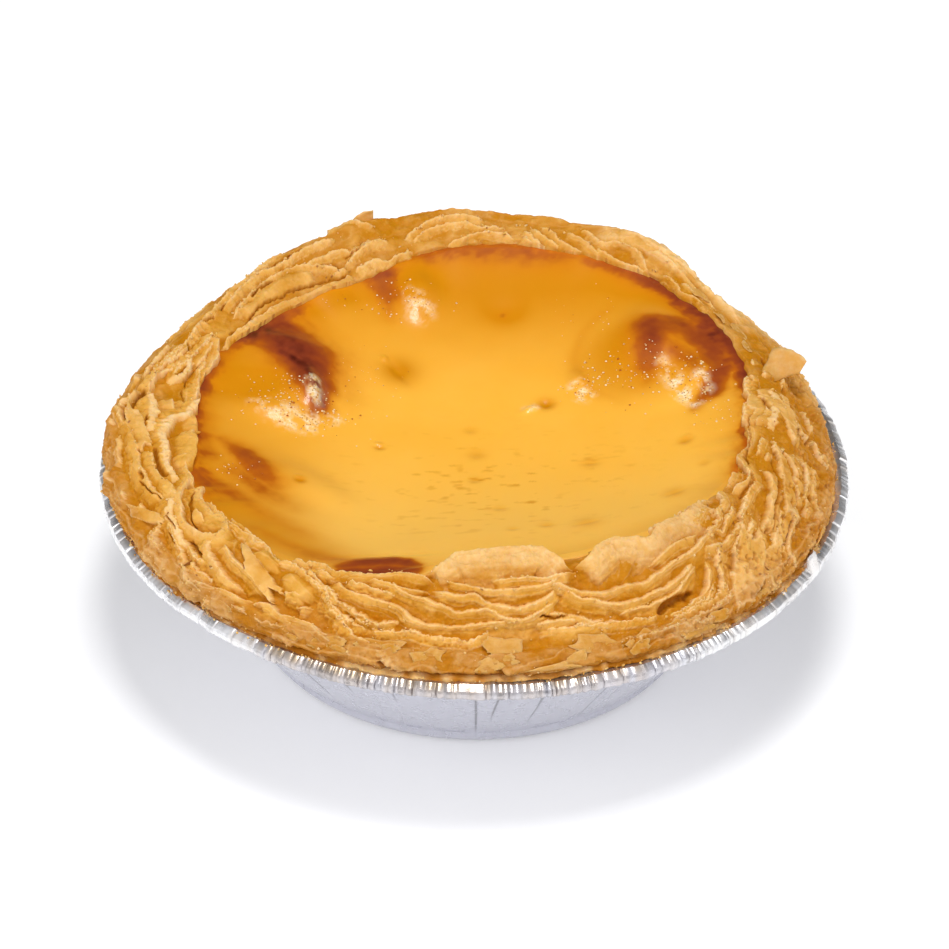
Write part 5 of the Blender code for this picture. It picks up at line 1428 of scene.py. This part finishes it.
def flake(az0, v0, along, across, lift, seed, tilt=0.0, curl=0.3, slant=0.0, rings=4, segs=90, corners=0, tone=None):
    """A thin ragged scale of pastry lying on the outline. Sizes are half-lengths in mm."""
    rng = np.random.default_rng(seed)
    th = np.arange(segs) / segs * 360.0
    small = min(1.0, 1.4 / across)
    ragged = (1 + 0.20 * ring_noise(5, seed)(th) + 0.13 * ring_noise(11, seed + 1)(th)
              + 0.10 * small * ring_noise(25, seed + 2)(th) + 0.10 * small * ring_noise(segs // 2, seed + 3)(th))
    if corners:
        ragged = corner_radius(th, corners, seed) + 0.05 * ring_noise(25, seed + 2)(th) + 0.04 * ring_noise(segs // 2, seed + 3)(th)
    rho = np.linspace(0.0, 1.0, rings + 1)[1:] ** 0.7
    t = np.radians(th)
    px = rho[:, None] * (np.sign(np.cos(t)) * np.abs(np.cos(t)) ** 0.85 * ragged)[None, :] * along
    py = rho[:, None] * (np.sign(np.sin(t)) * np.abs(np.sin(t)) ** 0.85 * ragged)[None, :] * across
    py = py + slant * px
    r0 = SURFACE.sample(SURFACE.r, az0, v0)
    az = az0 + np.degrees(px / r0)
    v = v0 + py / SURFACE.length
    wave = 0.13 * fractal(np.stack([px.ravel() / 1.6, py.ravel() / 1.6, np.full(px.size, seed * 0.37)], -1), 2, seed)
    wave = wave.reshape(px.shape) + 0.03 * ring_noise(40, seed + 6)(th)[None, :] * rho[:, None] ** 3
    h = lift + tilt * (py / across) + curl * rho[:, None] ** 4 * (0.5 + 0.5 * ring_noise(3, seed + 5)(th))[None, :] + wave
    half = 0.09 * (1 - 0.45 * rho[:, None] ** 3)
    top = SURFACE.point(az, v, h + half)
    low = SURFACE.point(az[-1:], v[-1:], h[-1:] - half[-1:])
    c_top = SURFACE.point(np.array([az0]), np.array([v0]), np.array([lift + 0.09 + wave[0].mean()]))
    c_low = SURFACE.point(np.array([az0]), np.array([v0]), np.array([lift - 0.09 + wave[0].mean()]))
    verts = np.vstack([top.reshape(-1, 3), low.reshape(-1, 3), c_top, c_low]) * MM
    quads = grid_quads(rings + 1, segs)
    c = np.arange(segs)
    n = (rings + 1) * segs
    tris = np.vstack([np.stack([np.full(segs, n), (c + 1) % segs, c], -1),
                      np.stack([n - segs + c, n - segs + (c + 1) % segs, np.full(segs, n + 1)], -1)])
    edge = np.repeat(np.clip((rho - 0.72) / 0.28, 0, 1)[:, None], segs, 1)
    edge = np.concatenate([edge.ravel(), edge[-1], [0, 0]])
    patchy = 0.16 * fractal(np.stack([px.ravel(), py.ravel(), np.full(px.size, seed * 0.71)], -1) / 0.55, 2, seed + 9)
    patchy = np.concatenate([patchy, patchy[-segs:], [0, 0]])
    edge = np.clip(np.maximum(0.5 * edge, rng.uniform(0.08, 0.26) if tone is None else tone) + patchy, 0, 1)
    amber_and_shade = np.clip(rng.uniform(0.40, 0.65) + 0 * patchy - patchy, 0, 1)
    return verts, quads, tris, edge, amber_and_shade, np.full(n + 2, 0.12)


def spline(points, n):
    """n evenly spaced points along a smooth curve through the given ones."""
    p = np.asarray(points, float)
    q = np.vstack([2 * p[0] - p[1], p, 2 * p[-1] - p[-2]])
    out = []
    for i in range(len(p) - 1):
        a, b, c, d = q[i:i + 4]
        x = np.linspace(0, 1, 40, endpoint=False)[:, None]
        out.append(0.5 * (2 * b + (c - a) * x + (2 * a - 5 * b + 4 * c - d) * x**2 + (3 * b - a - 3 * c + d) * x**3))
    out = np.vstack(out + [p[-1:]])
    d = np.concatenate([[0], np.cumsum(np.linalg.norm(np.diff(out, axis=0), axis=1))])
    g = np.linspace(0, d[-1], n)
    return np.stack([np.interp(g, d, out[:, i]) for i in range(out.shape[1])], -1), d[-1]


def ribbon(edge_curve, root_curve, seed, bulge=0.5, thick=0.17, ragged=0.14, brown_and_shade=(), rows=9, tone=0.0, free=False):
    """A leaf of pastry between a free edge and a root, both given as (azimuth, radius, height in mm).
    A closed thin shell with a ragged free edge; brown marks are (place 0-1, half-width, strength)."""
    def cartesian(c):
        c = np.asarray(c, float)
        a = np.radians(c[:, 0])
        return np.stack([c[:, 1] * np.cos(a), c[:, 1] * np.sin(a), c[:, 2]], -1)
    _, length = spline(cartesian(edge_curve), 8)
    n = max(24, int(length / 0.20))
    top, _ = spline(cartesian(edge_curve), n)
    root, _ = spline(cartesian(root_curve), n)
    s = np.linspace(0, 1, n)
    taper = np.clip(np.minimum(s, 1 - s) / 0.16, 0, 1)
    taper = taper * (2 - taper)
    if free:
        taper = np.ones(n)
    top = root + (top - root) * (0.35 + 0.65 * taper)[:, None]
    sink = 1.1 * (1 - taper)
    top, root = top.copy(), root.copy()
    top[:, 2] -= sink
    root[:, 2] -= sink + (0.0 if free else 0.5)
    deg = s * 359.0
    density = max(6, int(length / 0.42))
    ragline = (0.5 * ring_noise(max(4, density // 6), seed)(deg) + 0.45 * ring_noise(max(5, density // 2), seed + 1)(deg)
               + 0.55 * ring_noise(density, seed + 2)(deg))
    along = top - root
    along /= np.linalg.norm(along, axis=1)[:, None] + 1e-9
    bites = ramp(ring_noise(max(5, density // 2), seed + 3)(deg), 0.30, 0.75)
    top = top + along * (1.5 * ragged * ragline - 2.2 * ragged * bites)[:, None]
    tangent = np.gradient(top, axis=0)
    normal = np.cross(tangent, along)
    normal /= np.linalg.norm(normal, axis=1)[:, None] + 1e-9
    outward = (normal[:, :2] * top[:, :2]).sum(1) + 0.6 * normal[:, 2] * np.linalg.norm(top[:, :2], axis=1)
    normal *= np.where(outward.mean() < 0, -1.0, 1.0)
    ends = np.clip(np.minimum(s, 1 - s) / 0.10, 0, 1) ** 0.5
    t = np.linspace(0, 1, rows)[:, None] ** 0.8
    mid = root[None] + (top - root)[None] * t[..., None]
    puff = bulge * np.sin(math.pi * t**0.9) * ends[None]
    p = mid.reshape(-1, 3)
    puff = puff + ((0.30 if free else 0.17) * fractal(p / 1.7, 3, seed + 4) + 0.07 * fractal(p / 0.5, 2, seed + 5)).reshape(puff.shape)
    puff = puff + 0.07 * ring_noise(density, seed + 6)(deg)[None] * t**6
    mid = mid + normal[None] * puff[..., None]
    half = thick / 2 * (1 - 0.35 * t**4) * np.ones((1, n)) * (0.6 + 0.4 * ends[None])
    half = half + 0.03 * ring_noise(density, seed + 7)(deg)[None] * t**5
    outer, inner = mid + normal[None] * half[..., None], mid - normal[None] * half[..., None]
    shell = np.concatenate([outer, inner[::-1]], 0)
    total = 2 * rows
    verts = np.vstack([shell.reshape(-1, 3), shell[:, 0].mean(0)[None], shell[:, -1].mean(0)[None]]) * MM
    quads = grid_quads(total, n, wrap_rows=True, wrap_cols=False)
    i = np.arange(total)
    first, last = i * n, i * n + n - 1
    nxt = (i + 1) % total
    tris = np.vstack([np.stack([first, nxt * n, np.full(total, total * n)], -1),
                      np.stack([nxt * n + n - 1, last, np.full(total, total * n + 1)], -1)])
    reach = np.linalg.norm(top - root, axis=1)[None] * (1 - t)
    edge = np.clip(1 - reach / 0.45, 0, 1) * (0.75 + 0.25 * ring_noise(density, seed + 8)(deg)[None])
    edge = np.maximum(edge, 0.04 + 0.34 * np.clip(fractal(p / 1.1, 3, seed + 9).reshape(edge.shape), 0, 1) - tone)
    # deeper amber away from the free edge: the leaf's own amber with painted shade towards the root
    amber_and_shade = np.clip((reach - 0.3) / 2.0, 0, 0.85) + tone
    if free:
        edge, amber_and_shade = 0.30 + 0.5 * edge + 0.10 * fractal(p / 1.4, 2, seed + 12).reshape(edge.shape), 0.30 + 0.25 * amber_and_shade
    b = np.full((rows, n), 0.15 if free else 0.0)
    for place, wide, strong in brown_and_shade:
        b = np.maximum(b, strong * np.exp(-(((s - place) / wide) ** 2))[None] * np.exp(-(reach / 0.5) ** 2))
    def both(x):
        x = np.clip(x, 0, 1)
        return np.concatenate([np.vstack([x, x[::-1]]).ravel(), [x[0, 0], x[0, -1]]])
    return verts, quads, tris, both(edge), both(amber_and_shade), both(b)


def join_flakes(name, flakes):
    """One piece from many closed scales."""
    verts, quads, tris, edge, amber_and_shade, brown_and_shade, start = [], [], [], [], [], [], 0
    for f in flakes:
        all_tris = np.vstack([f[1][:, [0, 1, 2]], f[1][:, [0, 2, 3]], f[2]])
        c = f[0] - f[0].mean(0)
        a, b, d = (c[all_tris[:, i]] for i in range(3))
        flip = -1 if np.einsum("ij,ij->i", a, np.cross(b, d)).sum() < 0 else 1
        verts.append(f[0])
        quads.append(f[1][:, ::flip] + start)
        tris.append(f[2][:, ::flip] + start)
        edge.append(f[3])
        amber_and_shade.append(f[4])
        brown_and_shade.append(f[5])
        start += len(f[0])
    return make_piece(name, np.vstack(verts), np.vstack(quads), PASTRY,
                      {"edge": np.concatenate(edge), "amber_and_shade": np.concatenate(amber_and_shade), "brown_and_shade": np.concatenate(brown_and_shade)},
                      np.vstack(tris))


# leaves that stand out: free edge, root, then options
LEAVES = (
    # right side: curled flake lying across the crust
    (((20.0, 33.6, 26.5), (18.2, 34.4, 27.1), (16.9, 35.0, 27.3), (15.9, 35.7, 27.0), (14.9, 36.4, 26.5)),
     ((13.4, 31.0, 25.5), (13.0, 32.1, 25.35), (13.2, 33.2, 25.3), (13.5, 34.2, 25.3), (13.7, 35.3, 25.4)),
     dict(bulge=-0.10, ragged=0.16, thick=0.15, free=True)),
    # upper left: thin tip
    (((117.0, 36.6, 27.2), (115.0, 36.3, 27.9), (113.0, 36.0, 28.5), (111.0, 35.7, 29.1), (109.2, 35.5, 29.6)),
     ((117.6, 35.9, 26.8), (115.5, 35.6, 27.2), (113.4, 35.4, 27.5), (111.4, 35.2, 27.8), (109.4, 35.1, 28.1)),
     dict(bulge=0.12, ragged=0.10, thick=0.14, free=True)),
)


def crumb_template():
    """A small closed lump of unit size."""
    g = (1 + 5**0.5) / 2
    pts = np.array([(-1, g, 0), (1, g, 0), (-1, -g, 0), (1, -g, 0), (0, -1, g), (0, 1, g), (0, -1, -g), (0, 1, -g),
                    (g, 0, -1), (g, 0, 1), (-g, 0, -1), (-g, 0, 1)], float)
    pts /= np.linalg.norm(pts[0])
    faces = np.array([(0, 11, 5), (0, 5, 1), (0, 1, 7), (0, 7, 10), (0, 10, 11), (1, 5, 9), (5, 11, 4), (11, 10, 2),
                      (10, 7, 6), (7, 1, 8), (3, 9, 4), (3, 4, 2), (3, 2, 6), (3, 6, 8), (3, 8, 9), (4, 9, 5),
                      (2, 4, 11), (6, 2, 10), (8, 6, 7), (9, 8, 1)])
    return pts, faces


def build_crumbs():
    """Loose and half-stuck crumbs: along the leaf edges, on the skin and at the foot."""
    rng = np.random.default_rng(61)
    unit, faces = crumb_template()
    spots = []
    for kind, points in EDGES:
        if kind in "NDAB":
            continue
        q = curve(points)
        for k in range(int(len(q) * (0.9 if kind == "C" else 0.35))):
            a, b = q[rng.integers(0, len(q))] + rng.normal(0, 0.16, 2)
            spots.append((a / MM_PER_DEG, 1 - b / SURFACE.length, 0.05 + 0.11 * rng.random() ** 2))
    for k in range(420):
        spots.append((rng.uniform(0, 360), rng.uniform(0.02, 0.36), 0.05 + 0.10 * rng.random() ** 2))
    spots = np.array(spots)
    spots = spots[(spots[:, 1] > 0.01) & (spots[:, 1] < 0.93)]
    lift, dark = leaf_height(spots[:, 0], spots[:, 1])
    keep = dark < 0.2
    spots, lift = spots[keep], lift[keep]
    p = SURFACE.point(spots[:, 0], spots[:, 1], lift + 0.2 * spots[:, 2])
    az, r, z, size = spots[:, 0], np.hypot(p[:, 0], p[:, 1]), p[:, 2], spots[:, 2]
    # along the foot, on the lip
    n = 460
    a3 = rng.uniform(0, 360, n)
    r3 = np.clip(stations(FOOT_R, a3) + rng.normal(0.05, 0.30, n), 37.7, 39.0)
    az = np.concatenate([az, a3])
    r = np.concatenate([r, r3])
    z = np.concatenate([z, LIP_TOP + 0.04 - 0.5 * np.maximum(38.4 - r3, 0) * 0.4 + rng.uniform(-0.03, 0.08, n)])
    size = np.concatenate([size, rng.uniform(0.05, 0.15, n)])
    m = len(az)
    centre = polar(r, az, z)
    spin = rng.normal(size=(m, 3, 3))
    q, _ = np.linalg.qr(spin)
    stretch = rng.uniform(0.5, 1.5, (m, 1, 3))
    shapes = unit[None] * (1 + 0.28 * rng.normal(size=(m, 12, 1))) * stretch
    verts = np.einsum("mvi,mij->mvj", shapes, q) * size[:, None, None] * MM + centre[:, None]
    tris = (faces[None] + 12 * np.arange(m)[:, None, None]).reshape(-1, 3)
    edge = np.repeat(rng.uniform(0.2, 1.0, m), 12)
    amber_and_shade = np.repeat(rng.uniform(0.0, 0.3, m), 12)
    brown_and_shade = np.repeat(np.where(rng.random(m) < 0.06, 0.7, 0.0), 12)
    return make_piece("pastry_crumbs", verts.reshape(-1, 3), np.zeros((0, 4), int), PASTRY,
                      {"edge": edge, "amber_and_shade": amber_and_shade, "brown_and_shade": brown_and_shade}, tris)


def build_leaves():
    flakes = [ribbon(edge, root, 5000 + 40 * i, **options) for i, (edge, root, options) in enumerate(LEAVES)]
    return join_flakes("pastry_leaves_free", flakes)


def build_scales():
    """Ragged scales stuck to the outer skin, to the sides and to the top at the back."""
    rng = np.random.default_rng(23)
    flakes = []
    # scales of the front skin: azimuth, v, half-length, half-width, lift, corners, slant, tone
    for k, (az, v, along, across, lift, corners, slant, tone) in enumerate((
            (274.4, 0.245, 2.2, 1.30, -0.02, 9, -0.10, 0.20), (273.4, 0.125, 2.4, 0.75, 0.06, 11, 0.16, 0.30),
            (282.2, 0.055, 3.0, 0.55, 0.08, 10, 0.10, 0.34), (289.6, 0.185, 2.6, 1.10, -0.04, 9, -0.22, 0.18),
            (263.8, 0.165, 1.6, 1.00, -0.05, 8, 0.00, 0.24), (256.0, 0.215, 2.3, 1.15, -0.06, 9, 0.18, 0.14),
            (296.8, 0.150, 1.9, 0.75, -0.03, 9, 0.20, 0.18), (286.0, 0.110, 1.2, 0.60, 0.03, 8, 0.25, 0.24),
            (247.6, 0.190, 1.8, 0.85, -0.05, 9, 0.25, 0.14), (303.0, 0.160, 1.7, 0.60, -0.03, 9, 0.15, 0.18),
            (42.5, 0.87, 1.5, 0.60, 0.02, 9, 0.10, 0.34), (34.5, 0.90, 1.2, 0.50, 0.05, 9, -0.20, 0.42),
            (29.0, 0.83, 1.4, 0.60, 0.03, 9, 0.20, 0.32), (23.5, 0.88, 1.1, 0.55, 0.06, 8, -0.10, 0.40))):
        flakes.append(flake(az, v, along, across, lift, 700 + 31 * k, tilt=0.12, curl=0.16, slant=slant,
                            corners=corners, tone=tone))
    for k in range(12):
        az = rng.uniform(225, 345) if k % 2 else rng.uniform(0, 360)
        v = rng.uniform(0.05, 0.20)
        flakes.append(flake(az, v, rng.uniform(0.8, 2.2), rng.uniform(0.35, 0.8), rng.uniform(-0.02, 0.08), 1000 + 10 * k,
                            tilt=rng.uniform(0.0, 0.12), curl=rng.uniform(0.0, 0.3), slant=rng.uniform(-0.3, 0.3)))
    return join_flakes("pastry_scales", flakes)


build_foil()
build_custard()
build_bubbles()
build_shell()
build_leaves()
build_scales()
build_crumbs()


# ============================================================ floor, light, camera
def plane(name, size, z, material):
    mesh = bpy.data.meshes.new(name)
    h = size / 2
    mesh.from_pydata([(-h, -h, z), (h, -h, z), (h, h, z), (-h, h, z)], [], [(0, 1, 2, 3)])
    mesh.materials.append(material)
    obj = bpy.data.objects.new(name, mesh)
    bpy.context.scene.collection.objects.link(obj)
    return obj


def floor_material():
    m, tree, s = new_material("floor_white")
    n = noise_node(tree, 4.0, 2.0)
    col = colour_mix(tree, n, (0.93, 0.93, 0.93), (0.95, 0.95, 0.95))
    tree.links.new(col, s.inputs["Base Color"])
    s.inputs["Roughness"].default_value = 0.9
    s.inputs["Emission Color"].default_value = (1.0, 1.0, 1.0, 1.0)
    s.inputs["Emission Strength"].default_value = 0.15
    s.inputs["Specular IOR Level"].default_value = 0.1
    return m


plane("floor", 6.0, -0.0002, floor_material())


def area_light(name, location, target, size, power, colour=(1, 1, 1), size_y=None):
    light = bpy.data.lights.new(name, "AREA")
    light.energy = power
    light.color = colour
    light.size = size
    if size_y:
        light.shape = "RECTANGLE"
        light.size_y = size_y
    obj = bpy.data.objects.new(name, light)
    bpy.context.scene.collection.objects.link(obj)
    obj.location = location
    obj.rotation_euler = (Vector(target) - Vector(location)).to_track_quat("-Z", "Y").to_euler()
    return obj


area_light("top_soft", (0.03, -0.07, 0.72), (0, 0, 0.02), 0.20, 2.52, size_y=0.22)
area_light("front_left", (-0.7, -0.6, 0.6), (0, 0, 0.02), 0.6, 2.2)
area_light("front_right", (0.8, -0.4, 0.5), (0, 0, 0.02), 0.6, 1.0)

world = bpy.data.worlds.new("studio")
bpy.context.scene.world = world
world.use_nodes = True
wt = world.node_tree
background = wt.nodes["Background"]
coords = wt.nodes.new("ShaderNodeTexCoord")
# an even pale surround with one dim panel behind the tart, so that the custard keeps its colour
dot = wt.nodes.new("ShaderNodeVectorMath")
dot.operation = "DOT_PRODUCT"
wt.links.new(coords.outputs["Generated"], dot.inputs[0])
dot.inputs[1].default_value = (0.0, 0.72, 0.69)
sky = wt.nodes.new("ShaderNodeValToRGB")
wt.links.new(dot.outputs["Value"], sky.inputs[0])
e = sky.color_ramp.elements
e[0].position, e[0].color = 0.55, (0.97, 0.97, 1.0, 1)
e[1].position, e[1].color = 0.76, (0.02, 0.02, 0.02, 1)
wt.links.new(sky.outputs[0], background.inputs["Color"])
background.inputs["Strength"].default_value = 0.78

scene = bpy.context.scene
scene.view_settings.view_transform = "Standard"
scene.view_settings.look = "None"


def build_camera():
    """Photograph's view: low three-quarter from the front, about 35 degrees above the table."""
    elevation, roll = math.radians(34.87), math.radians(1.03)
    distance, aim = 12.0 * LIP_R * MM, Vector((0, 0, 18.0 * MM))
    back = Vector((0, -math.cos(elevation), math.sin(elevation)))
    right = Vector((1, 0, 0))
    up = back.cross(right)
    place = aim + back * distance
    right, up = right * math.cos(roll) + up * math.sin(roll), up * math.cos(roll) - right * math.sin(roll)
    pixels = 373.8 * 12.0                       # focal length in pixels of a 949-pixel frame
    # the rim's centre sits slightly above the middle of the frame
    back = (back * pixels + up * 4.3 - right * 0.1).normalized()
    right = up.cross(back).normalized()
    up = back.cross(right)
    camera = bpy.data.cameras.new("view")
    camera.sensor_width = 36.0
    camera.lens = pixels / 949 * 36.0
    camera.clip_start = 0.01
    camera.clip_end = 20
    obj = bpy.data.objects.new("view", camera)
    scene.collection.objects.link(obj)
    obj.matrix_world = Matrix((
        (right.x, up.x, back.x, place.x),
        (right.y, up.y, back.y, place.y),
        (right.z, up.z, back.z, place.z),
        (0, 0, 0, 1),
    ))
    scene.camera = obj


build_camera()
